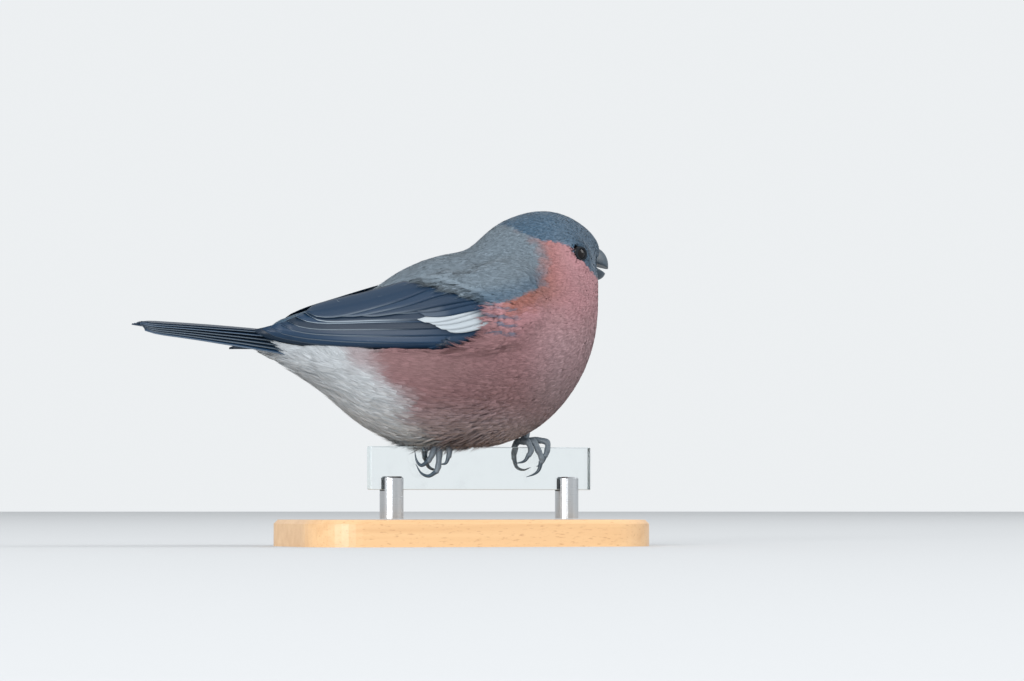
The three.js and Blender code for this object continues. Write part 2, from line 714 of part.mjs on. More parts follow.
const bird = new THREE.Group();
bird.add(
  node("head", head, "cap"),
  node("neck", neckShape, "nape"),
  node("torso", trunk, "breast"),
  node("tail", tail, "flight"),
  node("wing_right", wings[0], "flight"),
  node("wing_left", wings[1], "flight"),
  node("bill_upper", upperBill, "bill"),
  node("bill_lower", lowerBill, "bill"),
  node("eye_right", eyeballs[0], "eye"),
  node("eye_left", eyeballs[1], "eye"),
  node("leg_left", cutLegs[0], "leg"),
  node("leg_right", cutLegs[1], "leg"),
);

const stand = new THREE.Group();
stand.add(
  node("stand_perch", sheetShape, "sheet"),
  node("stand_rod_rear", rods[0], "steel"),
  node("stand_rod_front", rods[1], "steel"),
  node("stand_base", basePlate(), "wood"),
);

const model = new THREE.Group();
model.add(bird, stand);
model.position.z = RIM_HEIGHT;

export default model;
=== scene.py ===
import math

import bpy
import numpy as np
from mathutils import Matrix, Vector
from mathutils.bvhtree import BVHTree


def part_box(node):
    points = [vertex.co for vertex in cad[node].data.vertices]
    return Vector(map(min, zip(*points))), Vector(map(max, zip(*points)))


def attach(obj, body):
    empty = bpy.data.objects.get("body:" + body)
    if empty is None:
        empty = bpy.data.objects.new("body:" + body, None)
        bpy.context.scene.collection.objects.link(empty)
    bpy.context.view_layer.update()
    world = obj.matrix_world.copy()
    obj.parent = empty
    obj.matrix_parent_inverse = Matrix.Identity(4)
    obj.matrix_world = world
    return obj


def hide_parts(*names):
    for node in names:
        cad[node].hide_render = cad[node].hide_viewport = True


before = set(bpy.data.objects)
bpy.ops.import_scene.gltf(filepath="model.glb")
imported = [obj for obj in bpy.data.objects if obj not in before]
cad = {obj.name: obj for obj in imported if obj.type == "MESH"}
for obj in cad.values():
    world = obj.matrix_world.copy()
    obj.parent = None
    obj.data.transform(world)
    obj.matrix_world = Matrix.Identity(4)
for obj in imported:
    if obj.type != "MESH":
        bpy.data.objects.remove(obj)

# The view. A long lens at the height of the bird's feet looks up a little at its right side, from slightly
# behind its shoulder, as the photograph does.
bpy.ops.object.select_all(action="DESELECT")
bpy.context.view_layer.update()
RIM = 0.030
VIEW_TURN = math.radians(18)
VIEW_DISTANCE = 1.35
FOCAL = 156.6
# The length of a pixel at the rim, in metres, and where the horizon and the rim lie in the photograph, in pixels.
PIXEL = 0.000303
HORIZON_UNDER_RIM, HORIZON_UNDER_MIDDLE, RIM_LEFT_OF_MIDDLE = 58, 164.5, 32
eye_level = RIM - HORIZON_UNDER_RIM * PIXEL
upwards = math.atan(HORIZON_UNDER_MIDDLE * PIXEL / VIEW_DISTANCE)
heading = VIEW_TURN + math.atan(RIM_LEFT_OF_MIDDLE * PIXEL / VIEW_DISTANCE)
ahead = Vector((
    math.sin(heading) * math.cos(upwards), math.cos(heading) * math.cos(upwards), math.sin(upwards),
))
bpy.ops.object.camera_add(
    location=(-VIEW_DISTANCE * math.sin(VIEW_TURN), -VIEW_DISTANCE * math.cos(VIEW_TURN), eye_level),
    rotation=ahead.to_track_quat("-Z", "Y").to_euler(),
)
camera = bpy.context.object
camera.data.lens = FOCAL
camera.data.sensor_width = 36
camera.data.clip_start = 0.05
bpy.context.scene.camera = camera
bpy.context.scene.view_settings.view_transform = "Standard"


# The studio. A wide matt paper floor, an overcast sky all round, a large soft lamp high on each side and a
# small one low in front, so that the bird is lit softly from above and its breast isn't left dark.
PAPER, SKY = "#bcbec0", "#f2f5f7"
SKY_STRENGTH = 0.95
LAMPS_AIM_AT = (0, 0, 0.05)


def linear(colour):
    """An sRGB hex colour as linear red, green, blue and alpha."""
    parts = [int(colour[i : i + 2], 16) / 255 for i in (1, 3, 5)]
    return tuple(v / 12.92 if v <= 0.04045 else ((v + 0.055) / 1.055) ** 2.4 for v in parts) + (1.0,)


def add(tree, kind, inputs=(), **settings):
    """Adds a node. An input is a value, or a node and its output to link from."""
    made = tree.nodes.new(kind)
    for name, value in settings.items():
        setattr(made, name, value)
    for socket, value in dict(inputs).items():
        if isinstance(value, tuple) and isinstance(value[0], bpy.types.Node):
            tree.links.new(value[0].outputs[value[1]], made.inputs[socket])
        else:
            made.inputs[socket].default_value = value
    return made


def start_material(name):
    """A new material with an empty tree of nodes."""
    made = bpy.data.materials.new(name)
    made.use_nodes = True
    made.node_tree.nodes.clear()
    return made, made.node_tree


world = bpy.data.worlds.new("studio")
bpy.context.scene.world = world
world.use_nodes = True
background = world.node_tree.nodes["Background"]
background.inputs["Color"].default_value = linear(SKY)
background.inputs["Strength"].default_value = SKY_STRENGTH
for name, place, size, power in (
    ("soft_lamp_left", (-2.7, -3.0, 4.5), 3.6, 138),
    ("soft_lamp_right", (3.9, -1.5, 2.7), 3.0, 126),
    ("soft_lamp_low", (-2.2, -2.6, 0.4), 1.0, 98),
):
    aim = (Vector(LAMPS_AIM_AT) - Vector(place)).to_track_quat("-Z", "Y").to_euler()
    bpy.ops.object.light_add(type="AREA", location=place, rotation=aim)
    lamp = bpy.context.object
    lamp.name = name
    lamp.data.size = size
    lamp.data.energy = power
bpy.ops.mesh.primitive_circle_add(vertices=128, radius=7, fill_type="NGON")
floor = bpy.context.object
floor.name = "floor"
# Matt paper: it has no gloss and hardly any relief. Its fibres are drawn this many millimetres across, far coarser
# than they are, so that they show.
PAPER_FIBRE = 11.111
paper, tree = start_material("paper_floor")
place = add(tree, "ShaderNodeTexCoord")
grain = add(tree, "ShaderNodeTexNoise", {"Scale": 1000 / PAPER_FIBRE, "Vector": (place, "Object")})
bump = add(tree, "ShaderNodeBump", {"Height": (grain, "Fac"), "Strength": 0.04, "Distance": 0.001})
shader = add(tree, "ShaderNodeBsdfPrincipled", {
    "Base Color": linear(PAPER), "Roughness": 0.9, "Normal": (bump, "Normal"),
})
add(tree, "ShaderNodeOutputMaterial", {"Surface": (shader, "BSDF")})
floor.data.materials.append(paper)


# The body under the plumage. One skin runs from the face over the neck and the trunk to the root of the tail,
# with the shoulders of the folded wings in it. It is made of the solids' own forms, merged and drawn in by the
# depth of the coat, and carries the same markings as the feathers that grow on it.
SKIN_GRAIN = 0.0009
HEAD_AT = np.array([21.4, 1.2, 58.9])
HEAD_TURN, HEAD_NOD = math.radians(10), math.radians(8)


def turn_about(axis, angle):
    """The matrix of a turn about x, y or z, numbered from 0."""
    a, b = ((1, 2), (2, 0), (0, 1))[axis]
    turned = np.eye(3)
    turned[a, a] = turned[b, b] = math.cos(angle)
    turned[a, b], turned[b, a] = -math.sin(angle), math.sin(angle)
    return turned


head_axes = turn_about(2, HEAD_TURN) @ turn_about(1, HEAD_NOD)
BILL_BASE = HEAD_AT + head_axes @ np.array([12.0, 0, 0])


def metres(points):
    """Points given in millimetres from the rim, in metres from the floor."""
    return np.asarray(points, float) * 0.001 + np.array([0, 0, RIM])


def from_rim(points):
    """The other way round."""
    return (np.asarray(points, float) - np.array([0, 0, RIM])) * 1000


def to_head(points):
    """Points from the rim, along the head's own axes from its middle."""
    return (points - HEAD_AT) @ head_axes


def from_head(points):
    """The other way round."""
    return np.asarray(points, float) @ head_axes.T + HEAD_AT


def distance(points, place):
    return np.linalg.norm(points - place, axis=1)


def step_between(value, low, high):
    """A smooth step from 0 at low to 1 at high."""
    t = np.clip((value - low) / (high - low), 0, 1)
    return t * t * (3 - 2 * t)


def along(value, knots):
    """The value of a broken line through knots."""
    places, values = np.array(knots, float).T
    return np.interp(value, places, values)


def waver(points, size, seed=0.0):
    """A soft unevenness from -1 to 1 with patches of about this size in millimetres."""
    q = points * (2 * math.pi / size)
    a = np.sin(q[:, 0] + 1.7 * np.sin(0.7 * q[:, 1] + seed) + seed)
    b = np.sin(1.3 * q[:, 1] + 1.3 * np.sin(0.9 * q[:, 2] - seed) + 2.1 * seed)
    c = np.sin(1.1 * q[:, 2] + 1.5 * np.sin(0.8 * q[:, 0] + 2 * seed) - seed)
    return (a + b + c) / 3


# Where the markings end, in millimetres: the cap along the head's axes, the front and the lower edge of the
# mantle, and the front of the pale vent. The pairs are a place along the body or a height, and the edge there.
EYES = np.array([(27.45, -11.25, 58.35), (22.75, 14.75, 58.35)])
CAP_EDGE = [
    (-19, 10), (-16, 6.8), (-13.5, 4.1), (-10.8, 2.7), (-8.4, 2.2), (-5.2, 2.5), (-1.9, 2.3), (1.1, 1.5),
    (3.1, -0.5), (6.1, -2.8), (9.3, -4.5), (13.1, -5.8), (17, -6.8),
]
MANTLE_FRONT = [(44, 12.5), (47, 12.7), (51, 12.2), (55, 14.8), (59, 14.5), (63, 13.6), (68, 9), (72, 4)]
MANTLE_EDGE = [
    (-60, 41), (-20, 41.5), (-4, 42.2), (-0.7, 43), (3.8, 44.1), (7.3, 45.9), (10.7, 47), (13, 48),
]
VENT_FRONT = [
    (-4, 0), (0, -9), (2.4, -18.6), (6.3, -26), (11.2, -29.5), (16.1, -32), (21, -39.5), (28, -44), (34, -48),
]


def markings(p):
    """How black, slate, pale and warm the plumage is at points in millimetres from the rim. Each edge comes in
    between two places and wavers as the ends of the feathers do."""
    x, z = p[:, 0], p[:, 2]
    h = to_head(p)
    ragged = waver(p, 3.1, 0.4)
    # The cap, and a ring of it round each eye.
    cap = step_between(h[:, 2] - along(h[:, 0], CAP_EDGE) + 0.35 * ragged, -0.35, 0.35)
    for eye_middle in EYES:
        cap = np.maximum(cap, 1 - step_between(distance(p, eye_middle), 3.0, 3.4))
    # The slate mantle.
    over_wing = z - along(x, MANTLE_EDGE)
    behind_nape = along(z, MANTLE_FRONT) - x + 1.6 * waver(p, 5, 1.1)
    slate = step_between(behind_nape, -4.2, 2.6) * step_between(over_wing + 0.5 * ragged, -0.7, 0.7)
    # The pale vent, the white rump and the black feathers over the tail.
    vent_and_painted_underlight = step_between(along(z, VENT_FRONT) - x + 2.4 * waver(p, 9, 2.3) + 2, -7, 7)
    rump = step_between(-x, 30, 36) * step_between(z, 33, 37)
    rump *= 1 - step_between(z - 47 - 0.35 * (x + 34), 0, 2)
    tail_edge = 29.6 + 0.25 * np.maximum(-55 - x, 0)
    above_tail = step_between(-x, 43, 47) * step_between(z + 0.4 * ragged - tail_edge, -0.4, 0.6)
    # The breast is rosier above than below, and orange beside the mantle.
    warm = 0.66 * step_between(z + 0.4 * x, 14, 58)
    ember = step_between(over_wing + 1.5 * ragged, -12, 0) * step_between(x, -6, 2)
    ember *= 1 - step_between(x, 10, 26)
    warm += (1 - warm) * ember
    # Dark streaks at the bend of the wing and dark tips along the low mantle.
    bend = step_between(-np.abs(x + 1), -6, -3) * step_between(-np.abs(z - 37), -5, -3.5)
    streaks = step_between(np.sin(2.5 * z + 0.25 * x + 0.7 * ragged), 0.2, 0.8)
    cap = np.maximum(cap, 0.75 * bend * streaks)
    low_mantle = slate * step_between(along(x, MANTLE_EDGE) + 7 - z, 0, 6) * step_between(x, -14, -6)
    cap = np.maximum(cap, 0.8 * low_mantle)
    # Low on the belly the plumage is painted paler and greyer, partly painted light standing in for the light
    # thrown up from below and partly the grey bases of its feathers; the grey bases also show through low on the
    # breast.
    vent_and_painted_underlight = np.maximum(vent_and_painted_underlight, 0.4 * step_between(-z, -16, -1))
    vent_and_painted_underlight = np.maximum(vent_and_painted_underlight, 0.17 * step_between(x, 3, 20) * step_between(-z, -46, -30))
    return np.stack([np.maximum(cap, above_tail), slate, np.maximum(vent_and_painted_underlight, rump), warm], 1)


def on_own(obj):
    """Selects one object alone and makes it the active one."""
    bpy.ops.object.select_all(action="DESELECT")
    obj.select_set(True)
    bpy.context.view_layer.objects.active = obj


def copy_of(node):
    """A copy of a solid, its doubles merged, all selected in edit mode."""
    made = cad[node].copy()
    made.data = cad[node].data.copy()
    for key in list(made.keys()):
        del made[key]
    made.parent = None
    bpy.context.scene.collection.objects.link(made)
    on_own(made)
    bpy.ops.object.mode_set(mode="EDIT")
    bpy.ops.mesh.select_all(action="SELECT")
    bpy.ops.mesh.remove_doubles(threshold=1e-6)
    return made


def joined(parts):
    """One object of several, which the first of them becomes."""
    on_own(parts[0])
    for part in parts[1:]:
        part.select_set(True)
    bpy.ops.object.join()
    return parts[0]


# The planes that bound the part of a folded wing under the shoulder's plumage, each by a point on it and the way
# to its covered side, along the body and up. No wing behind the last place is in the skin.
WING_COVER = [
    ((-5, 33), (1, 0)), ((-5, 42), (0.36, 0.93)), ((-7.9, 33.3), (0.53, -0.85)), ((-20, 28.4), (0, -1)),
]
SHOULDER_END = -37
flesh = []
for node in ("torso", "neck", "head"):
    flesh.append(copy_of(node))
    bpy.ops.object.mode_set(mode="OBJECT")
for node in ("wing_right", "wing_left"):
    for (x, z), (over_x, over_z) in WING_COVER:
        flesh.append(copy_of(node))
        for at, over in (((x, 0, z), (over_x, 0, over_z)), ((SHOULDER_END, 0, 30), (1, 0, 0))):
            bpy.ops.mesh.select_all(action="SELECT")
            bpy.ops.mesh.bisect(plane_co=metres(at), plane_no=over, use_fill=True, clear_inner=True)
        bpy.ops.object.mode_set(mode="OBJECT")
skin = joined(flesh)
skin.name = "skin"
skin.data.materials.clear()
for kind, settings in (
    ("REMESH", {"mode": "VOXEL", "voxel_size": SKIN_GRAIN}),
    ("SMOOTH", {"factor": 0.5, "iterations": 14}),
):
    modifier = skin.modifiers.new(kind.title(), kind)
    for name, value in settings.items():
        setattr(modifier, name, value)
    bpy.ops.object.modifier_apply(modifier=modifier.name)


def numbers(collection, field, width):
    """One field of every point of a mesh, a row for each."""
    values = np.empty(len(collection) * width, np.float32)
    collection.foreach_get(field, values)
    return values.reshape(-1, width)


# The folds between the back and the shoulder of each wing, and beside the neck, are bridged by feathers. Each is
# given by the corners of a box on the left side and by how often it is smoothed.
FOLDS = [((-26, 10, 44), (5, 22, 58), 36), ((2, 9, 38), (21, 24, 58), 24)]
places = from_rim(numbers(skin.data.vertices, "co", 3))
places[:, 1] = np.abs(places[:, 1])
for low, high, times in FOLDS:
    bpy.ops.object.mode_set(mode="EDIT")
    bpy.ops.mesh.select_mode(type="VERT")
    bpy.ops.mesh.select_all(action="DESELECT")
    bpy.ops.object.mode_set(mode="OBJECT")
    skin.data.vertices.foreach_set("select", ((places > low) & (places < high)).all(1))
    bpy.ops.object.mode_set(mode="EDIT")
    bpy.ops.mesh.vertices_smooth(factor=0.5, repeat=times)
    bpy.ops.object.mode_set(mode="OBJECT")


def coat_depth(p):
    """How deep the plumage is, in millimetres: thin on the face, and thinnest round the eyes."""
    from_eye = np.min([distance(p, eye_middle) for eye_middle in EYES], axis=0)
    full = 0.5 + 1.1 * step_between(distance(p, BILL_BASE), 4, 26)
    return full * (0.35 + 0.65 * step_between(from_eye, 2.5, 7))


skin_points = from_rim(numbers(skin.data.vertices, "co", 3))
skin_normals = numbers(skin.data.vertex_normals, "vector", 3)
skin_points = skin_points - skin_normals * coat_depth(skin_points)[:, None]
skin.data.vertices.foreach_set("co", metres(skin_points).astype(np.float32).ravel())
skin.data.update()
bpy.ops.object.shade_smooth()


def paint(mesh, name, values):
    """Stores four numbers a point, which a material reads as a colour and an alpha."""
    layer = mesh.attributes.new(name, "FLOAT_COLOR", "POINT")
    layer.data.foreach_set("color", np.asarray(values, np.float32).ravel())


paint(skin.data, "markings", markings(skin_points))
# The skin under the coat is painted darker in the same way: painted shade under the tufts.
paint(skin.data, "barb", np.tile([0.2, 0.5, 0.5, 1.0], (len(skin_points), 1)))

# Plumage: keratin barbs, matt and velvety on the body and glossed on the crown, each a little lighter or darker
# than the next, and duller in patches of about this many millimetres. It is the dry winter feather.
INK, SLATE, ROSE, BLUSH, EMBER, VENT = "#3a5469", "#66737d", "#7b5c5e", "#a4767b", "#8e574b", "#a8adb1"
DULL_ROSE = "#7a5f5e"
DULL_PATCH = 14.286
plumage, tree = start_material("plumage")
place = add(tree, "ShaderNodeTexCoord")
marks = add(tree, "ShaderNodeAttribute", attribute_name="markings")
barb = add(tree, "ShaderNodeAttribute", attribute_name="barb")
mark = add(tree, "ShaderNodeSeparateColor", {"Color": (marks, "Color")})
strand = add(tree, "ShaderNodeSeparateColor", {"Color": (barb, "Color")})
patch = add(tree, "ShaderNodeTexNoise", {
    "Vector": (place, "Object"), "Scale": 1000 / DULL_PATCH, "Detail": 3.0,
})
rosy = add(tree, "ShaderNodeValToRGB", {"Fac": (marks, "Alpha")})
stops = rosy.color_ramp.elements
stops.new(0.66)
for stop, colour in zip(stops, (ROSE, BLUSH, EMBER)):
    stop.color = linear(colour)
dull = add(tree, "ShaderNodeMapRange", {
    "Value": (patch, "Fac"), "From Min": 0.4, "From Max": 0.75, "To Min": 0.0, "To Max": 0.4,
})
coloured = (rosy, "Color")
for share, over in (
    ((dull, "Result"), DULL_ROSE), ((mark, "Green"), SLATE), ((mark, "Blue"), VENT), ((mark, "Red"), INK),
):
    mixed = add(tree, "ShaderNodeMix", {0: share, 6: coloured, 7: linear(over)}, data_type="RGBA")
    coloured = (mixed, 2)
shade = add(tree, "ShaderNodeMapRange", {"Value": (strand, "Green"), "To Min": 0.72, "To Max": 1.22})
# Painted shade: each barb is darker towards its root, partly the grey bases of the feathers and partly painted
# shade where the tufts overlie one another.
root_shade = add(tree, "ShaderNodeMapRange", {
    "Value": (strand, "Red"), "From Max": 0.6, "To Min": 0.8, "To Max": 1.0,
})
both = add(tree, "ShaderNodeMath", {0: (shade, "Result"), 1: (root_shade, "Result")}, operation="MULTIPLY")
tinted = add(tree, "ShaderNodeHueSaturation", {"Value": (both, "Value"), "Color": coloured})
rough = add(tree, "ShaderNodeMapRange", {"Value": (mark, "Red"), "To Min": 0.78, "To Max": 0.42})
shader = add(tree, "ShaderNodeBsdfPrincipled", {
    "Base Color": (tinted, "Color"), "Roughness": (rough, "Result"), "Specular IOR Level": 0.35,
    "Sheen Weight": 0.08, "Sheen Roughness": 0.4,
})
add(tree, "ShaderNodeOutputMaterial", {"Surface": (shader, "BSDF")})
skin.data.materials.append(plumage)
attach(skin, "root")
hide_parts("torso", "neck", "head")


# The wings. Each has seven long primaries, the secondaries and tertials over them, and three groups of coverts
# over their roots, all of stiff blue-black vane on a shaft. They lie folded in tiers over the flank and on to
# the tail, on a form whose half width, half height and middle height are given along the body.


def through(knots):
    """A smooth line through knots, level beyond its ends."""
    places, values = np.array(knots, float).T
    before, after = np.r_[0, 0:len(places) - 1], np.r_[1:len(places), len(places) - 1]
    slopes = (values[after] - values[before]) / (places[after] - places[before])

    def value(x):
        x = np.clip(x, places[0], places[-1])
        i = np.clip(np.searchsorted(places, x, side="right") - 1, 0, len(places) - 2)
        span = places[i + 1] - places[i]
        t = (x - places[i]) / span
        rise = t * t * (3 - 2 * t)
        pull = t * (1 - t) ** 2 * slopes[i] * span - t * t * (1 - t) * slopes[i + 1] * span
        return values[i] * (1 - rise) + values[i + 1] * rise + pull

    return value


wrap_half_width = through([
    (-80, 3.2), (-70, 6.2), (-60, 9.4), (-50, 13), (-40, 17.8), (-30, 22.6), (-20, 26.4), (-8, 28.3),
    (2, 27.4), (10, 24.2), (18, 19.5),
])
wrap_half_height = through([
    (-80, 3), (-70, 5), (-60, 7.2), (-50, 10.8), (-40, 14.6), (-30, 18.6), (-20, 23), (-8, 26), (2, 26.4),
    (10, 27.4), (18, 28),
])
wrap_middle = through([(-80, 36.2), (-70, 35.6), (-55, 34.2), (-40, 33.2), (-20, 33), (0, 34.5), (20, 36)])
# The left wing is held a little looser, so that its tip hangs lower and further out.
LOOSE = {"from": -30, "drop": 0.0028, "spread": 0.0052, "reach": 0.08}


def on_wing(side, x, angle, lift):
    """A point on the folded wing's form, by its place along the body and its angle round it in degrees."""
    bend = np.radians(angle)
    back = np.maximum(LOOSE["from"] - x, 0) if side > 0 else np.zeros_like(x)
    y = (wrap_half_width(x) + lift) * np.cos(bend) + back * back * LOOSE["spread"]
    z = wrap_middle(x) + (wrap_half_height(x) + lift) * np.sin(bend) - back * back * LOOSE["drop"]
    return np.stack([x - back * LOOSE["reach"], side * y, z], -1)


def triangle_mesh(name, points, triangles):
    """A mesh object from points in millimetres from the rim."""
    mesh = bpy.data.meshes.new(name)
    mesh.vertices.add(len(points))
    mesh.vertices.foreach_set("co", metres(points).astype(np.float32).ravel())
    mesh.loops.add(triangles.size)
    mesh.loops.foreach_set("vertex_index", triangles.astype(np.int32).ravel())
    mesh.polygons.add(len(triangles))
    mesh.polygons.foreach_set("loop_start", np.arange(0, triangles.size, 3, dtype=np.int32))
    mesh.polygons.foreach_set("use_smooth", np.ones(len(triangles), bool))
    mesh.update(calc_edges=True)
    mesh.validate()
    made = bpy.data.objects.new(name, mesh)
    bpy.context.scene.collection.objects.link(made)
    return made


def blade_faces(rows, across):
    """The triangles of a thin closed blade: a grid for its outer face, then one for its inner face."""
    count = rows * across
    i, j = np.meshgrid(np.arange(rows - 1), np.arange(across - 1), indexing="ij")
    a = (i * across + j).ravel()
    b, c, d = a + 1, a + across + 1, a + across
    faces = [np.stack([a, b, c], 1), np.stack([a, c, d], 1)]
    faces += [np.stack([a, c, b], 1) + count, np.stack([a, d, c], 1) + count]
    for start, end in (
        (np.arange(rows - 1) * across, np.arange(1, rows) * across),
        (np.arange(1, rows) * across + across - 1, np.arange(rows - 1) * across + across - 1),
        (np.arange(1, across), np.arange(across - 1)),
        (count - across + np.arange(across - 1), count - across + np.arange(1, across)),
    ):
        faces += [np.stack([start, end, end + count], 1), np.stack([start, end + count, start + count], 1)]
    return np.concatenate(faces)


def spread_uv(mesh, name, uv, triangles):
    """Gives every corner of a mesh the UV place of its point."""
    layer = mesh.uv_layers.new(name=name)
    layer.data.foreach_set("uv", uv.reshape(-1, 2)[triangles.ravel()].astype(np.float32).ravel())


def turn_outwards(obj):
    """Makes the faces of a closed mesh point outwards."""
    on_own(obj)
    bpy.ops.object.mode_set(mode="EDIT")
    bpy.ops.mesh.select_all(action="SELECT")
    bpy.ops.mesh.normals_make_consistent(inside=False)
    bpy.ops.object.mode_set(mode="OBJECT")
def feather_group(name, feathers):
    """One mesh of many vanes. Each feather is its outer face, inner face, and four numbers a point."""
    points, triangles, values, uvs = [], [], [], []
    total = 0
    for outer, inner, numbers_here, uv in feathers:
        rows, across = outer.shape[:2]
        triangles.append(blade_faces(rows, across) + total)
        points += [outer.reshape(-1, 3), inner.reshape(-1, 3)]
        values += [numbers_here.reshape(-1, 4)] * 2
        uvs += [uv.reshape(-1, 2)] * 2
        total += 2 * rows * across
    points, triangles = np.concatenate(points), np.concatenate(triangles)
    made = triangle_mesh(name, points, triangles)
    paint(made.data, "vane", np.concatenate(values))
    spread_uv(made.data, "UVMap", np.concatenate(uvs), triangles)
    turn_outwards(made)
    return made


def tucked(points):
    """How far a place on the wing lies under the shoulder's plumage, from 0 to 1."""
    x, z = points[..., 0], points[..., 2]
    return np.max([
        step_between(over_x * (x - at_x) + over_z * (z - at_z), -2.0, 2.6)
        for (at_x, at_z), (over_x, over_z) in WING_COVER
    ], axis=0)

# A vane in millimetres: how far its lower edge stands off and its upper one lies under the next feather, its
# shaft, its camber, its ripple, its thickness, and how deep it is tucked in under the shoulder. The shaft's place
# and width are shares of the half width.
SHINGLE, SHAFT_RIDGE, CAMBER, RIPPLE, VANE_THICKNESS, TUCK = 0.5, 0.16, 0.12, 0.05, 0.22, 4.2
SHAFT_AT, SHAFT_WIDTH = -0.25, 0.12
VANE_ROWS, VANE_ACROSS = 19, 9
# The UV maps of the vanes count in this many millimetres along the shaft.
UV_UNIT = 10


def vane(side, root, tip, width, lift, blunt, bar=0.0, edge=0.0, rng=None):
    """A wing feather from its root to its tip, cambered about a shaft nearer its lower, outer edge."""
    t = np.linspace(0, 1, VANE_ROWS)[:, None]
    a = np.linspace(-1, 1, VANE_ACROSS)[None, :]
    x = root[0] + (tip[0] - root[0]) * t
    angle = root[1] + (tip[1] - root[1]) * t
    beyond = np.maximum((t - blunt) / (1 - blunt), 0)
    rounded = np.sqrt(np.maximum(1 - beyond * beyond, 0.012))
    half = width / 2 * (0.8 + 0.2 * np.minimum(t * 2.5, 1)) * rounded
    turn = np.degrees(2 * half / (wrap_half_width(x) + wrap_half_height(x)))
    shaft = SHAFT_RIDGE * np.exp(-((a - SHAFT_AT) / SHAFT_WIDTH) ** 2)
    raised = lift * (1 - 0.4 * t) - SHINGLE * a + shaft + CAMBER * (1 - a * a)
    raised = raised + RIPPLE * np.sin(9 * t + 20 * lift) * a
    x_grid = np.broadcast_to(x, (VANE_ROWS, VANE_ACROSS))
    angles = angle + a * turn
    raised = raised - TUCK * tucked(on_wing(side, x_grid, angles, raised))
    outer = on_wing(side, x_grid, angles, raised)
    inner = on_wing(side, x_grid, angles, raised - VANE_THICKNESS * (1 - 0.6 * np.abs(a)))
    # The four numbers are the vane's tone, its pale edge, its pale bar, and nothing.
    bar_from, bar_full = (0.42, 0.62) if bar == 1 else (0.72, 0.8)
    numbers_here = np.zeros((VANE_ROWS, VANE_ACROSS, 4))
    numbers_here[..., 0] = rng.random()
    numbers_here[..., 1] = edge * step_between(t, 0.35, 0.65)
    numbers_here[..., 2] = bar * step_between(t, bar_from, bar_full)
    length = abs(tip[0] - root[0])
    uv = np.stack(np.broadcast_arrays(a * 0.5 + 0.5, t * length / UV_UNIT), -1)
    return outer, inner, numbers_here, uv


# Each tier from its lowest feather to its highest. The first and last root and tip are given by their place along
# the body and their angle round it. A pale bar lies on the fifth tier, and a trace of it on the last.
WING_TIERS = [
    dict(count=7, roots=((-4, -7), (-8, 14)), tips=((-72, -20), (-58, 40)),
         width=6, lift=0.3, blunt=0.8, edge=0.9),
    dict(count=4, roots=((-8, 12), (-10, 27)), tips=((-57, 34), (-48, 52)),
         width=7.0, lift=0.7, blunt=0.84, edge=0.9),
    dict(count=3, roots=((-12, 28), (-14, 46)), tips=((-46, 34), (-57, 38)),
         width=8.6, lift=1.45, blunt=0.75, edge=0.3),
    dict(count=4, roots=((10, -4), (10, 3)), tips=((-24, -10), (-20, -2)),
         width=4.4, lift=1.1, blunt=0.7, edge=0.1),
    dict(count=4, roots=((8, 14), (6, 24)), tips=((-20, 4), (-27, 13)),
         width=5.8, lift=1.5, blunt=0.7, bar=1.0),
    dict(count=6, roots=((6, 24), (0, 46)), tips=((-27, 19), (-37, 42)),
         width=7.4, lift=1.6, blunt=0.7, bar=0.1),
]
TIP_JITTER = 1.0
wings = {}
for name, side in (("right", -1), ("left", 1)):
    rng = np.random.default_rng(40 + side)
    feathers = []
    for number, tier in enumerate(WING_TIERS):
        shape = dict(tier)
        count = shape.pop("count")
        roots, tips = (np.array(shape.pop(key), float) for key in ("roots", "tips"))
        edge = shape.pop("edge", 0)
        for i in range(count):
            t = i / (count - 1)
            root = roots[0] + (roots[1] - roots[0]) * t
            tip = tips[0] + (tips[1] - tips[0]) * t + (rng.random(2) - 0.5) * TIP_JITTER
            # The edges of the primaries grow paler from the lowest to the highest.
            pale = edge * (t if number == 0 else 1)
            feathers.append(vane(side, root, tip, edge=pale, rng=rng, **shape))
    wings[name] = feather_group("wing_feathers_" + name, feathers)

# Flight feathers: stiff keratin vane with a blue-black gloss, fine slanting barbs, and a thin pale edge. The
# coverts have broad ash-white ends. The barbs are drawn this many millimetres apart, wider than real ones, so
# that they show.
JET, JET_SHINE, EDGE, ASH = "#0d1c2a", "#183048", "#8f9ca6", "#9ba3a9"
BARB_SPACING = 0.35
BARB_SLANT = 0.55
flight, tree = start_material("flight_vane")
vane_values = add(tree, "ShaderNodeAttribute", attribute_name="vane")
split = add(tree, "ShaderNodeSeparateColor", {"Color": (vane_values, "Color")})
uv_map = add(tree, "ShaderNodeUVMap", uv_map="UVMap")
uv_parts = add(tree, "ShaderNodeSeparateXYZ", {"Vector": (uv_map, "UV")})
from_shaft = add(tree, "ShaderNodeMath", {0: (uv_parts, "X"), 1: (SHAFT_AT + 1) / 2}, operation="SUBTRACT")
aslant = add(tree, "ShaderNodeMath", {0: (from_shaft, "Value")}, operation="ABSOLUTE")
slid = add(tree, "ShaderNodeMath", {
    0: (aslant, "Value"), 1: BARB_SLANT, 2: (uv_parts, "Y"),
}, operation="MULTIPLY_ADD")
barbs = add(tree, "ShaderNodeMath", {
    0: (slid, "Value"), 1: 2 * math.pi * UV_UNIT / BARB_SPACING,
}, operation="MULTIPLY")
rib = add(tree, "ShaderNodeMath", {0: (barbs, "Value")}, operation="SINE")
bump = add(tree, "ShaderNodeBump", {"Height": (rib, "Value"), "Strength": 0.12, "Distance": 0.00005})
rim = add(tree, "ShaderNodeMapRange", {"Value": (uv_parts, "X"), "From Min": 0.07, "From Max": 0.03})
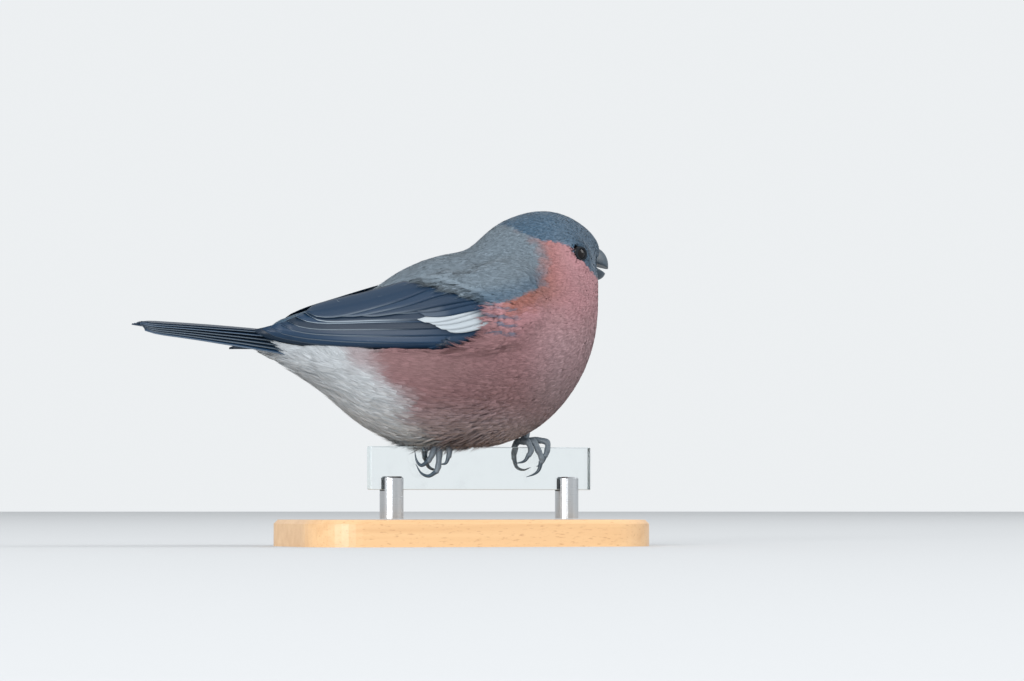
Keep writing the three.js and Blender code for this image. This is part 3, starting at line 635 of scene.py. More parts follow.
rim_on = add(tree, "ShaderNodeMath", {0: (rim, "Result"), 1: (split, "Green")}, operation="MULTIPLY")
coloured = linear(JET)
for share, over in (((split, "Red"), JET_SHINE), ((rim_on, "Value"), EDGE), ((split, "Blue"), ASH)):
    mixed = add(tree, "ShaderNodeMix", {0: share, 6: coloured, 7: linear(over)}, data_type="RGBA")
    coloured = (mixed, 2)
shader = add(tree, "ShaderNodeBsdfPrincipled", {
    "Base Color": coloured, "Roughness": 0.42, "Normal": (bump, "Normal"), "Specular IOR Level": 0.25,
})
add(tree, "ShaderNodeOutputMaterial", {"Surface": (shader, "BSDF")})
for name, wing in wings.items():
    wing.data.materials.append(flight)
    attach(wing, "root")
    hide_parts("wing_" + name)


# The tail. Twelve stiff blue-black feathers, the middle pair on top, close to a square end. Each is a flat vane
# on a shaft. They lie in a shallow roof, with their roots under the feathers of the rump.
TAIL_ROOT = np.array([-46, 0, 33.1])
TAIL_SLOPE, TAIL_ROLL = math.radians(5.2), math.radians(8.7)
TAIL_COUNT, TAIL_ROWS, TAIL_ACROSS = 12, 25, 9
TAIL_LENGTH, TAIL_HALF, TAIL_NOTCH, TAIL_SAG = 60, 7.4, 0.3, 1.7
TAIL_ARCH, TAIL_ARCH_LOST = 6.2, 4.5
TAIL_VANE_HALF, TAIL_VANE_THICKNESS, TAIL_SHAFT_AT = 3.8, 0.2, -0.2
tail_axes = turn_about(1, TAIL_SLOPE) @ turn_about(0, TAIL_ROLL)
rng = np.random.default_rng(12)
t = np.linspace(0, 1, TAIL_ROWS)[:, None]
a = np.linspace(-1, 1, TAIL_ACROSS)[None, :]
fan = TAIL_HALF * (0.35 + 0.65 * t)
arch = TAIL_ARCH - TAIL_ARCH_LOST * t ** 0.8
beyond = np.maximum((t - 0.9) / 0.1, 0)
half = TAIL_VANE_HALF * (0.5 + 0.5 * np.minimum(t * 1.6, 1)) * np.sqrt(np.maximum(1 - beyond * beyond, 0.01))
feathers = []
for number in range(TAIL_COUNT):
    spread = (2 * number + 1 - TAIL_COUNT) / (TAIL_COUNT - 1)
    outward, side = abs(spread), math.copysign(1, spread)
    length = TAIL_LENGTH - TAIL_NOTCH * (1 - outward) + (rng.random() - 0.5) * 0.8
    drop = -outward * arch - TAIL_SAG * t * t
    lean = -0.14 * a * side + 0.1 * np.exp(-((a - TAIL_SHAFT_AT * side) / SHAFT_WIDTH) ** 2)
    lean = lean - 0.5 * outward * arch / fan * half * np.maximum(a * side, 0)
    grid = np.stack(np.broadcast_arrays(-t * length, spread * fan + a * half, drop + lean), -1)
    under = grid - np.array([0, 0, TAIL_VANE_THICKNESS])
    numbers_here = np.broadcast_to(np.array([rng.random(), 0.25, 0.0, 0.0]), (TAIL_ROWS, TAIL_ACROSS, 4))
    uv = np.stack(np.broadcast_arrays(-a * side * 0.5 + 0.5, t * length / UV_UNIT), -1)
    feathers.append((grid @ tail_axes.T + TAIL_ROOT, under @ tail_axes.T + TAIL_ROOT, numbers_here, uv))
tail = feather_group("tail_feathers", feathers)
tail.data.materials.append(flight)
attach(tail, "root")
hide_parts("tail")


# The eyes: wet, almost black globes in the edge of the cap, each within a thin ring of dark scaly lid. They sit
# where the solids' eyes are, sunk a little so that the feathers close round them.
EYE_AT, EYE_RADIUS, EYE_PROUD, EYE_SINK = (4.3, 0.7), 2.5, 0.62, 0.23
LID_WIDTH = 0.4
IRIS, IRIS_LIGHT, LID = "#08070a", "#120e0d", "#12181e"
eye_places, eye_outs = {}, {}
for name, side in (("right", -1), ("left", 1)):
    low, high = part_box("eye_" + name)
    out = from_head([EYE_AT[0] * 0.6, side * 12, EYE_AT[1]]) - HEAD_AT
    eye_outs[name] = out / np.linalg.norm(out)
    middle = from_rim([(low[k] + high[k]) / 2 for k in range(3)])
    eye_places[name] = middle - EYE_SINK * eye_outs[name]
# Cornea: wet and clear over a black-brown iris, so it shows sharp small lights. The iris is flecked about this
# many millimetres across.
IRIS_FLECK = 1.1111
eye_black, tree = start_material("wet_eye")
place = add(tree, "ShaderNodeTexCoord")
mottle = add(tree, "ShaderNodeTexNoise", {
    "Vector": (place, "Object"), "Scale": 1000 / IRIS_FLECK, "Detail": 2.0,
})
iris = add(tree, "ShaderNodeMix", {
    0: (mottle, "Fac"), 6: linear(IRIS), 7: linear(IRIS_LIGHT),
}, data_type="RGBA")
shader = add(tree, "ShaderNodeBsdfPrincipled", {
    "Base Color": (iris, 2), "Roughness": 0.05, "Specular IOR Level": 0.24,
})
add(tree, "ShaderNodeOutputMaterial", {"Surface": (shader, "BSDF")})
# Lid: bare scaly skin, matt and almost black, in scales of this many millimetres.
LID_SCALE = 0.3125
lid_skin, tree = start_material("lid_skin")
place = add(tree, "ShaderNodeTexCoord")
scales = add(tree, "ShaderNodeTexVoronoi", {"Vector": (place, "Object"), "Scale": 1000 / LID_SCALE})
bump = add(tree, "ShaderNodeBump", {"Height": (scales, "Distance"), "Strength": 0.5, "Distance": 0.0001})
shader = add(tree, "ShaderNodeBsdfPrincipled", {
    "Base Color": linear(LID), "Roughness": 0.75, "Normal": (bump, "Normal"), "Specular IOR Level": 0.2,
})
add(tree, "ShaderNodeOutputMaterial", {"Surface": (shader, "BSDF")})
for name, middle in eye_places.items():
    bpy.ops.object.select_all(action="DESELECT")
    bpy.ops.mesh.primitive_uv_sphere_add(
        segments=40, ring_count=24, radius=EYE_RADIUS * 0.001, location=metres(middle),
    )
    eye = bpy.context.object
    eye.name = "eye_globe_" + name
    bpy.ops.object.transform_apply(location=True, rotation=True, scale=True)
    bpy.ops.object.shade_smooth()
    eye.data.materials.append(eye_black)
    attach(eye, "root")
    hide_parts("eye_" + name)
    rise = EYE_RADIUS - EYE_PROUD
    ring = math.sqrt(EYE_RADIUS**2 - rise**2) + LID_WIDTH * 0.5
    bpy.ops.object.select_all(action="DESELECT")
    bpy.ops.mesh.primitive_torus_add(
        major_segments=48, minor_segments=10, major_radius=ring * 0.001, minor_radius=LID_WIDTH * 0.001,
        location=metres(middle + eye_outs[name] * rise),
        rotation=Vector(eye_outs[name]).to_track_quat("Z", "Y").to_euler(),
    )
    lid = bpy.context.object
    lid.name = "lid_ring_" + name
    bpy.ops.object.transform_apply(location=True, rotation=True, scale=True)
    bpy.ops.object.shade_smooth()
    lid.data.materials.append(lid_skin)
    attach(lid, "root")


# The bill: a short swollen cone of black horn in two halves, a little open, the upper one hooked over the lower.
# Each half is lofted along its length from the face, and the upper one has a nostril on each side of its root.
BILL = {"root": 11.6, "level": -0.5, "half_width": 4.2, "palate": 0.25}
BILL_RINGS = 40
NOSTRIL_AT, NOSTRIL_RADIUS, NOSTRIL_SHAPE = (1.5, 2.45, 4.15), 0.0004, (1.7, 0.8, 1.0)
HORN, HORN_LIGHT, NOSTRIL_SHADE = "#1f2c36", "#3a4c5a", "#0b0d0f"
# Horn: grown keratin, blue-black with a dull gloss that comes and goes in streaks of this many millimetres.
HORN_STREAK = 1.4286
horn, tree = start_material("black_horn")
place = add(tree, "ShaderNodeTexCoord")
streak = add(tree, "ShaderNodeTexNoise", {
    "Vector": (place, "Object"), "Scale": 1000 / HORN_STREAK, "Detail": 4.0,
})
sheen = add(tree, "ShaderNodeMapRange", {"Value": (streak, "Fac"), "To Min": 0.32, "To Max": 0.5})
bump = add(tree, "ShaderNodeBump", {"Height": (streak, "Fac"), "Strength": 0.2, "Distance": 0.0001})
tone = add(tree, "ShaderNodeMix", {
    0: (streak, "Fac"), 6: linear(HORN), 7: linear(HORN_LIGHT),
}, data_type="RGBA")
shader = add(tree, "ShaderNodeBsdfPrincipled", {
    "Base Color": (tone, 2), "Roughness": (sheen, "Result"), "Normal": (bump, "Normal"),
})
add(tree, "ShaderNodeOutputMaterial", {"Surface": (shader, "BSDF")})
# Nostril: a small dark oval on the bill, painted near black for the shade inside the open nostril.
nostril_shade, tree = start_material("nostril_painted_shade")
shader = add(tree, "ShaderNodeBsdfPrincipled", {"Base Color": linear(NOSTRIL_SHADE), "Roughness": 0.8})
add(tree, "ShaderNodeOutputMaterial", {"Surface": (shader, "BSDF")})


def loft(name, rings):
    """A closed mesh through rings of points, its ends drawn to their middles."""
    rings = np.asarray(rings, float)
    steps, sides = rings.shape[:2]
    points = np.concatenate([rings.reshape(-1, 3), rings[[0, -1]].mean(1)])
    i, j = np.meshgrid(np.arange(steps - 1), np.arange(sides), indexing="ij")
    a, b = (i * sides + j).ravel(), (i * sides + (j + 1) % sides).ravel()
    faces = [np.stack([a, b, b + sides], 1), np.stack([a, b + sides, a + sides], 1)]
    around = np.arange(sides)
    last = (steps - 1) * sides
    faces.append(np.stack([np.full(sides, steps * sides), (around + 1) % sides, around], 1))
    faces.append(np.stack([np.full(sides, steps * sides + 1), last + around, last + (around + 1) % sides], 1))
    made = triangle_mesh(name, points, np.concatenate(faces))
    turn_outwards(made)
    return made


# Each half: its name, the way it bulges, its length and depth, how blunt its profile is, how far its tip hooks
# down, and how far it is turned open in degrees.
for name, side, length, depth, blunt, hook, gape in (
    ("upper", 1, 10.4, 5.6, 4.0, 0.6, 0.0),
    ("lower", -1, 9.8, 3.9, 3.2, 0.0, 12.0),
):
    turn = math.radians(gape)
    rings = []
    for i in range(BILL_RINGS + 1):
        t = 1 - (1 - i / BILL_RINGS) ** 1.6
        width = BILL["half_width"] * math.sqrt(max(1 - t**2.2, 0.004))
        deep = depth * math.sqrt(max(1 - t**blunt, 0.004))
        edge = 0.15 - hook * t**4
        outer = [(width * math.cos(q), edge + deep * math.sin(q)) for q in np.linspace(0, math.pi, 25)]
        inner = [(u * width, edge + BILL["palate"] * (1 - t)) for u in (-0.75, -0.4, 0, 0.4, 0.75)]
        ring = []
        for y, z in outer + inner:
            forward = t * length
            x = BILL["root"] + forward * math.cos(turn) - z * math.sin(turn)
            ring.append((x, y, BILL["level"] + side * z * math.cos(turn) - forward * math.sin(turn)))
        rings.append(from_head(ring))
    bill = loft("bill_horn_" + name, rings)
    bill.data.materials.append(horn)
    if name == "upper":
        # Two small ovals, dark with the painted shade of the nostrils, are set into the root of the upper half.
        nostrils = []
        forward, outward, up = NOSTRIL_AT
        for side in (-1, 1):
            at = metres(from_head([BILL["root"] + forward, side * outward, up]))
            bpy.ops.mesh.primitive_uv_sphere_add(segments=16, ring_count=8, radius=NOSTRIL_RADIUS, location=at)
            nostril = bpy.context.object
            nostril.scale = NOSTRIL_SHAPE
            bpy.ops.object.transform_apply(location=True, rotation=True, scale=True)
            nostril.data.materials.append(nostril_shade)
            nostrils.append(nostril)
        joined([bill, *nostrils])
    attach(bill, "root")
    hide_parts("bill_" + name)


# The legs: short shanks and curled toes in dark scutes, ending in curved black claws. Each foot is locked over
# the rim, the front toes on its right face and the hind toe behind it. All are tubes along a line of joints.
PERCH_TURN = math.radians(8)
SHANK_RINGS, SHANK_SIDES, SHANK_RADII = 24, 16, [1.2, 1.08, 1.25]
TOE_RINGS, TOE_SIDES, TOE_RADII = 12, 14, [1.06, 0.8]
CLAW_RINGS, CLAW_SIDES, CLAW_RADIUS, CLAW_POINT = 28, 12, 0.66, 0.05
SCUTE_DARK, SCUTE_LIGHT = "#414c56", "#66717a"


def on_perch(points):
    """Points given along the rim, towards the bird's right, and up."""
    q = np.asarray(points, float)
    c, s = math.cos(PERCH_TURN), math.sin(PERCH_TURN)
    return np.stack([q[:, 0] * c + q[:, 1] * s, q[:, 0] * s - q[:, 1] * c, q[:, 2]], 1)


def smooth_path(points, count):
    """Points evenly in number along a rounded curve through the given ones."""
    p = np.asarray(points, float)
    p = np.concatenate([[2 * p[0] - p[1]], p, [2 * p[-1] - p[-2]]])
    places = np.linspace(0, len(p) - 3 - 1e-9, count)
    i = places.astype(int)
    t = (places - i)[:, None]
    a, b, c, d = p[i], p[i + 1], p[i + 2], p[i + 3]
    return 0.5 * (2 * b + (c - a) * t + (2 * a - 5 * b + 4 * c - d) * t**2 + (3 * b - a - 3 * c + d) * t**3)


def tube_rings(points, radii, sides, count):
    """Rings of points round a curve through the given ones, for a loft."""
    path = smooth_path(points, count)
    heading = np.gradient(path, axis=0)
    heading /= np.linalg.norm(heading, axis=1)[:, None]
    aside = np.cross(heading[0], [0.3, 0.2, 0.9])
    rings = []
    for k in range(count):
        aside = aside - heading[k] * (aside @ heading[k])
        aside /= np.linalg.norm(aside)
        over = np.cross(heading[k], aside)
        turn = np.linspace(0, 2 * math.pi, sides, endpoint=False)[:, None]
        rings.append(path[k] + radii[k] * (np.cos(turn) * aside + np.sin(turn) * over))
    return rings


# Each foot: the joints of its shank from the body down, and of each toe and its claw from the shank out, in
# millimetres along the rim, towards the bird's right, and up.
FEET = {
    "left": {
        "shank": [(17.6, -1.6, 11), (16.4, -0.8, 5.6), (14.9, 0, 2)],
        "toes": [
            ([(14.9, 0, 1.9), (18.5, 1.2, 2.1), (21.2, 2.9, 1.5), (21.1, 3.4, -1), (20.2, 3.3, -3.2)],
             [(19.5, 3.1, -4.8), (17.7, 2.8, -6.0)]),
            ([(15.1, 0.2, 1.8), (17.1, 2.2, 1.7), (18.1, 3.3, -1), (19.2, 3.4, -3.4), (19, 3.2, -5)],
             [(18.5, 2.9, -6.9), (17.1, 2.6, -8.2), (14.5, 2.3, -9.1)]),
            ([(14.7, 0.2, 1.8), (15.1, 2.2, 1.6), (15.7, 3.2, -0.9), (14.6, 3.2, -3)],
             [(13.5, 2.9, -4.3), (10.8, 2.4, -5)]),
            ([(14.5, -0.3, 1.9), (13.7, -2.4, 1.5), (12.6, -3.1, -1.4), (12.5, -3.1, -4)],
             [(13.3, -2.9, -6), (15.5, -2.7, -6.9), (17.9, -2.5, -6.1)]),
        ],
    },
    "right": {
        "shank": [(-15.2, -1.2, 7), (-15.4, -0.6, 4.5), (-15.8, 0, 2)],
        "toes": [
            ([(-15.8, 0, 1.9), (-16, 2.4, 1.5), (-17.4, 3.3, -2), (-19.2, 3.3, -5)],
             [(-21, 3, -5.7), (-22.5, 2.7, -4.2), (-23, 2.4, -1.2)]),
            ([(-15.6, 0.2, 1.9), (-15, 2.6, 1.3), (-15.4, 3.6, -2.4), (-15.8, 3.7, -6), (-16.6, 3.6, -8.1)],
             [(-18.8, 3.3, -8.9), (-21.2, 3, -7.9), (-22.8, 2.7, -5.2)]),
            ([(-15.2, 0.2, 1.9), (-13.4, 2.6, 1.4), (-12.4, 4.3, -1), (-12.8, 4.6, -3.6)],
             [(-13.6, 4.4, -5), (-15.4, 4, -5.4)]),
            ([(-16, -0.3, 1.9), (-16.8, -2.4, 1.5), (-17.6, -3.1, -1.4), (-17.4, -3.1, -4)],
             [(-16.4, -2.9, -6), (-14.4, -2.7, -6.9), (-12.2, -2.5, -6.1)]),
        ],
    },
}
# Scutes: small hard plates of horny skin, half matt and slightly bluish, with lighter and darker stretches. The
# plates are this many millimetres across, and the stretches this long.
SCUTE, SCUTE_PATCH = 0.66667, 2
scute, tree = start_material("scaled_skin")
place = add(tree, "ShaderNodeTexCoord")
plates = add(tree, "ShaderNodeTexVoronoi", {
    "Vector": (place, "Object"), "Scale": 1000 / SCUTE,
}, feature="DISTANCE_TO_EDGE")
tint = add(tree, "ShaderNodeTexNoise", {"Vector": (place, "Object"), "Scale": 1000 / SCUTE_PATCH})
bump = add(tree, "ShaderNodeBump", {"Height": (plates, "Distance"), "Strength": 0.6, "Distance": 0.0002})
tone = add(tree, "ShaderNodeMix", {
    0: (tint, "Fac"), 6: linear(SCUTE_DARK), 7: linear(SCUTE_LIGHT),
}, data_type="RGBA")
shader = add(tree, "ShaderNodeBsdfPrincipled", {
    "Base Color": (tone, 2), "Roughness": 0.5, "Normal": (bump, "Normal"),
})
add(tree, "ShaderNodeOutputMaterial", {"Surface": (shader, "BSDF")})
for name, foot in FEET.items():
    pieces = []
    ridged = 1 + 0.05 * np.abs(np.sin(np.linspace(0, 6 * math.pi, SHANK_RINGS)))
    radii = np.interp(np.linspace(0, 1, SHANK_RINGS), [0, 0.5, 1], SHANK_RADII) * ridged
    shank = tube_rings(on_perch(foot["shank"]), radii, SHANK_SIDES, SHANK_RINGS)
    pieces.append((loft("leg_" + name, shank), scute))
    for joints, claw in foot["toes"]:
        count = TOE_RINGS * (len(joints) - 1) + 1
        part = np.linspace(0, len(joints) - 1, count)
        swell = 1 + 0.07 * np.cos(2 * math.pi * part) + 0.035 * np.abs(np.sin(part * math.pi * 4))
        radii = swell * np.interp(part, [0, len(joints) - 1], TOE_RADII)
        radii[-3:] *= [0.9, 0.75, 0.5]
        pieces.append((loft("toe", tube_rings(on_perch(joints), radii, TOE_SIDES, count)), scute))
        start = np.array(joints[-2]) * 0.25 + np.array(joints[-1]) * 0.75
        radii = CLAW_RADIUS * (1 - np.linspace(0, 1, CLAW_RINGS)) ** 0.8 + CLAW_POINT
        path = on_perch([tuple(start), *claw])
        pieces.append((loft("claw", tube_rings(path, radii, CLAW_SIDES, CLAW_RINGS)), horn))
    for piece, finish in pieces:
        piece.data.materials.append(finish)
    leg = joined([piece for piece, _ in pieces])
    leg.name = "foot_" + name
    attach(leg, "root")
    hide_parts("leg_" + name)


# The small body feathers. Each is a tuft of fine barbs that grows out of the skin and lies along the body from
# bill to tail, short and close on the face, longer and looser on the belly and under the tail. A barb is a
# ribbon of three triangles, wider than a real one, so that it shows.
TAIL_TIP = np.array([-106.0, 0, 38])
BARBS = 6
# How many tufts grow on a square millimetre, and how many more on the head.
TUFTS, HEAD_TUFTS, QUICK_SHARE = 5.0, 4.0, 0.25
# How far tufts stay from the middle of an eye, in millimetres, by their roots and by their barbs, and how far
# they stay from the shanks and the folded wings.
EYE_BARE, EYE_CLEAR, SHANK_BARE, WING_CLEAR = 2.95, 2.68, 1.5, 0.9
rng = np.random.default_rng(7)
skin_faces = np.array([tuple(f.vertices) for f in skin.data.polygons if len(f.vertices) == 4])
skin_faces = np.concatenate([skin_faces[:, [0, 1, 2]], skin_faces[:, [0, 2, 3]]])
corners = skin_points[skin_faces]
areas = np.linalg.norm(np.cross(corners[:, 1] - corners[:, 0], corners[:, 2] - corners[:, 0]), axis=1) / 2
middles = corners.mean(1)


def surface_tree(points, faces):
    """A search tree of a surface."""
    return BVHTree.FromPolygons([Vector(p) for p in points.astype(float)], [tuple(map(int, f)) for f in faces])


vane_points, vane_faces = [], []
for part in (*wings.values(), tail):
    before = sum(len(points) for points in vane_points)
    vane_points.append(from_rim(numbers(part.data.vertices, "co", 3)))
    vane_faces.append(np.array([tuple(f.vertices) for f in part.data.polygons]) + before)
wing_tree = surface_tree(np.concatenate(vane_points[:2]), np.concatenate(vane_faces[:2]))
vane_points, vane_faces = np.concatenate(vane_points), np.concatenate(vane_faces)
vane_tree = surface_tree(vane_points, vane_faces)
skin_tree = surface_tree(skin_points, skin_faces)
bird_tree = surface_tree(
    np.concatenate([skin_points, vane_points]), np.concatenate([skin_faces, vane_faces + len(skin_points)]),
)


def onto(tree, points):
    """The nearest places on a surface and which way it faces there."""
    hits = [tree.find_nearest(Vector(p))[:2] for p in points]
    return np.array([h[0] for h in hits]), np.array([h[1] for h in hits])


def unit(vectors):
    """Vectors of length one."""
    return vectors / np.maximum(np.linalg.norm(vectors, axis=-1, keepdims=True), 1e-9)


def lie(points, facing):
    """Which way the feathers lie: away from the bill and on towards the tail."""
    away, on = unit(points - BILL_BASE), unit(TAIL_TIP - points)
    near = np.exp(-distance(points, BILL_BASE) / 22)[:, None]
    flow = away * (0.35 + 0.65 * near) + on * (1 - near) * 0.9
    flow = flow - facing * (flow * facing).sum(1, keepdims=True)
    return unit(flow)


def in_head(points):
    """How far a place is in the head, from 0 to 1."""
    return step_between(points[:, 2] + 0.6 * points[:, 0], 55, 66)


# The roots: scattered over the skin, but not under the bill, in the eyes, where the shanks come out, under the
# vanes, on the step down to the wings, or on the end of the rump that the tail covers.
weights = areas * (TUFTS + HEAD_TUFTS * in_head(middles))
wanted = int(weights.sum() * (1.0))
chosen = rng.choice(len(skin_faces), wanted, p=weights / weights.sum())
u, v = rng.random(wanted), rng.random(wanted)
flip = u + v > 1
u[flip], v[flip] = 1 - u[flip], 1 - v[flip]
tri = corners[chosen]
roots = tri[:, 0] + (tri[:, 1] - tri[:, 0]) * u[:, None] + (tri[:, 2] - tri[:, 0]) * v[:, None]
normals = unit(skin_normals[skin_faces[chosen]].mean(1))
head_places = to_head(roots)
bare = (head_places[:, 0] > 10) & (
    (head_places[:, 1] / 3.7) ** 2 + ((head_places[:, 2] - 0.6) / 4.6) ** 2 < 1
)
for middle in eye_places.values():
    bare |= distance(roots, middle) < EYE_BARE
for foot in FEET.values():
    for knee in on_perch(foot["shank"])[:2]:
        bare |= distance(roots, knee) < SHANK_BARE
covered = np.array([
    vane_tree.ray_cast(Vector(p + 0.2 * n), Vector(n), 9.0)[0] is not None for p, n in zip(roots, normals)
])
to_edge = np.max([
    over_x * (roots[:, 0] - at_x) + over_z * (roots[:, 2] - at_z)
    for (at_x, at_z), (over_x, over_z) in WING_COVER[:3]
], axis=0)
by_wing = (roots[:, 0] > -44) & (roots[:, 0] < 10) & (roots[:, 2] > 26) & (np.abs(roots[:, 1]) > 8)
on_step = (normals[:, 0] < -0.5) & (np.abs(to_edge) < 4) & by_wing
rear_end = (roots[:, 0] < -67) | ((roots[:, 0] < -55) & (normals[:, 0] < -0.6))
keep = ~bare & ~covered & ~on_step & ~rear_end
to_edge, by_wing = to_edge[keep], by_wing[keep]
roots, normals = roots[keep], normals[keep]
flow = lie(roots, normals)
# The lengths: they grow from the bill to the tail and on the underside, and shrink round the eyes and where the
# coat meets the tail. Those at the edge of the shoulder reach over the wing.
head_share = in_head(roots)
length = (1.4 + 0.11 * np.clip(distance(roots, BILL_BASE), 0, 22)) * head_share
length += (1 - head_share) * (4.8 + 3.2 * step_between(-roots[:, 0], -12, 34))
length *= 0.85 + 0.3 * rng.random(len(roots))
half_width = 0.06 * length + 0.17
depth = coat_depth(roots)
underside = step_between(-normals[:, 2], 0.2, 0.8) * step_between(-roots[:, 0], -14, 4)
length *= 1 + 0.35 * underside
for middle in eye_places.values():
    length *= 1 - 0.3 * step_between(-distance(roots, middle), -4.5, -3)
length *= 1 - 0.62 * step_between(-roots[:, 0], 50, 66)
length *= 1 + 0.45 * step_between(-np.abs(to_edge - 2), -5, -2) * by_wing
# The path of each tuft: its root in the skin, its middle and its tip over what lies below. Behind the wings only
# the body counts, and under the tail the feathers lie straight.
over_edge = step_between(-np.abs(roots[:, 0] + 44), -8, -4)
over_edge *= step_between(-np.abs(roots[:, 2] - 27), -3.5, -2) * (roots[:, 1] < 0)
flow = unit(flow + np.array([0, 0, 0.9]) * over_edge[:, None])
side_way = np.cross(normals, flow)
swing = np.radians(7) * rng.standard_normal(len(roots))
flow = unit(flow * np.cos(swing)[:, None] + side_way * np.sin(swing)[:, None])
middle_aim, end_aim = roots + flow * (length * 0.5)[:, None], roots + flow * length[:, None]
lifted = normals * 0.6
halfway, halfway_face = onto(bird_tree, middle_aim + lifted)
end, end_face = onto(bird_tree, end_aim + lifted)
behind = (roots[:, 0] < -34) & (over_edge < 0.3)
halfway[behind], halfway_face[behind] = onto(skin_tree, (middle_aim + lifted)[behind])
end[behind], end_face[behind] = onto(skin_tree, (end_aim + lifted)[behind])
straight = (step_between(-roots[:, 0], 50, 55) * step_between(-normals[:, 2], -0.2, 0.2))[:, None]
halfway += (middle_aim - halfway) * straight
end += (end_aim - end) * straight
halfway_face = unit(halfway_face + (normals - halfway_face) * straight)
end_face = unit(end_face + (normals - end_face) * straight)
loose = 0.94 + 0.12 * rng.random(len(roots)) + 0.9 * underside * rng.random(len(roots)) ** 3
path = np.stack([
    roots - normals * 0.25,
    halfway + halfway_face * (depth * 0.88 * loose)[:, None],
    end + end_face * (depth * loose)[:, None],
], 1)
faces_out = np.stack([normals, halfway_face, end_face], 1)
# Wisps hang down on both sides of the rim.
from_middle = roots[:, 1] - roots[:, 0] * math.tan(PERCH_TURN)
hanging = underside * step_between(np.abs(from_middle), 2.2, 3.4) * step_between(-path[:, 2, 2], -4.5, -1.5)
path[:, 2, 2] -= hanging * rng.uniform(0.4, 3.4, len(roots))
path[:, 1, 2] -= hanging * 0.5
path[:, 2, 1] += np.sign(from_middle) * hanging * 0.7


def clear_of_wings(start, mid, tip):
    """Whether a tuft stands clear of both folded wings."""
    reach = tip - start
    return (
        wing_tree.find_nearest(Vector(mid))[3] > WING_CLEAR
        and wing_tree.find_nearest(Vector(tip))[3] > WING_CLEAR
        and wing_tree.ray_cast(Vector(start), Vector(reach).normalized(), float(np.linalg.norm(reach)))[0] is None
    )


clear = np.array([not at_rear or clear_of_wings(*line) for at_rear, line in zip(behind, path)])
for middle in eye_places.values():
    clear &= (np.linalg.norm(path - middle[None, None], axis=2) > EYE_CLEAR).all(1)
path, faces_out, roots, half_width, head_share = (
    x[clear] for x in (path, faces_out, roots, half_width, head_share)
)
tuft_marks = markings(path[:, 1])
round_body = np.degrees(np.arctan2(roots[:, 2] - 32, -roots[:, 1])) % 360


def tufts(name, chosen):
    """One piece of the coat: for each chosen root a tuft of barbs, each a ribbon of three triangles."""
    spine, out = path[chosen], faces_out[chosen]
    count = len(spine)
    fan = np.linspace(-1, 1, BARBS)[None, :] + rng.uniform(-0.12, 0.12, (count, BARBS))
    reach = 1 - 0.22 * fan**2 + rng.uniform(-0.16, 0.06, (count, BARBS))
    along_way = unit(spine[:, 2] - spine[:, 0])
    across = unit(np.cross(out, along_way[:, None]))
    half = half_width[chosen][:, None]
    start = spine[:, None, 0] + across[:, None, 0] * (fan * half * 0.3)[..., None]
    mid = spine[:, None, 1] + across[:, None, 1] * (fan * half * 0.9)[..., None]
    tip = spine[:, None, 1] + (spine[:, None, 2] - spine[:, None, 1]) * (2 * reach - 1)[..., None]
    tip = tip + across[:, None, 2] * (fan * half * 0.95)[..., None]
    sag = -0.18 * fan**2 * half
    mid, tip = mid + out[:, None, 1] * sag[..., None], tip + out[:, None, 2] * sag[..., None]
    roll = rng.normal(0, 0.15, (count, BARBS)) - 0.3 * fan
    wide = (0.06 + 0.16 * half) * rng.uniform(0.75, 1.25, (count, BARBS))
    lean_mid = across[:, None, 1] * np.cos(roll)[..., None] + out[:, None, 1] * np.sin(roll)[..., None]
    lean_start = across[:, None, 0] * np.cos(roll)[..., None] + out[:, None, 0] * np.sin(roll)[..., None]
    points = np.stack([
        start - lean_start * (wide * 0.8)[..., None], start + lean_start * (wide * 0.8)[..., None],
        mid - lean_mid * wide[..., None], mid + lean_mid * wide[..., None], tip,
    ], 2)
    # No barb goes into the sheet: one that comes too low over the rim is laid on it.
    flat = points.reshape(-1, 3)
    by_rim = (np.abs(flat[:, 1] - flat[:, 0] * math.tan(PERCH_TURN)) < 1.9) & (flat[:, 2] < 0.25)
    flat[by_rim & (np.abs(flat[:, 0]) < 37), 2] = 0.25
    first = np.arange(count * BARBS)[:, None] * 5
    triangles = np.concatenate([first + [0, 1, 3], first + [0, 3, 2], first + [2, 3, 4]], 1).reshape(-1, 3)
    made = triangle_mesh(name, flat, triangles)
    paint(made.data, "markings", np.repeat(tuft_marks[chosen], BARBS * 5, axis=0))
    # The numbers are how far a point is from the root, by which shade is painted towards the root, how light the
    # barb is, and a number for the tuft.
    tone = 0.5 + 0.1 * rng.standard_normal((count, 1)) + 0.1 * rng.standard_normal((count, BARBS))
    strand = np.empty((count, BARBS, 5, 4))
    strand[..., 0] = [0.0, 0.0, 0.55, 0.55, 1.0]
    strand[..., 1] = np.clip(tone, 0, 1)[..., None]
    strand[..., 2] = rng.random((count, 1, 1))
    strand[..., 3] = 1
    paint(made.data, "barb", strand)
    # Each tuft gets a small place of its own on the bake map, by where its root is on the body.
    centre = np.stack([
        np.arctan2(roots[chosen, 1], roots[chosen, 2] - 32) / (2 * math.pi) + 0.5,
        (roots[chosen, 0] + 76) / 124,
    ], 1) * 0.99 + 0.005
    local = np.stack([
        np.broadcast_to(fan[..., None] * 0.45, (count, BARBS, 5)) + np.array([-0.05, 0.05, -0.05, 0.05, 0]),
        np.broadcast_to(np.array([-0.5, -0.5, 0.05, 0.05, 0.5]), (count, BARBS, 5)),
    ], -1)
    spread_uv(made.data, "OFBake", centre[:, None, None] + 0.003 * local, triangles)
    made.data.materials.append(plumage)
    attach(made, "root")
    return made


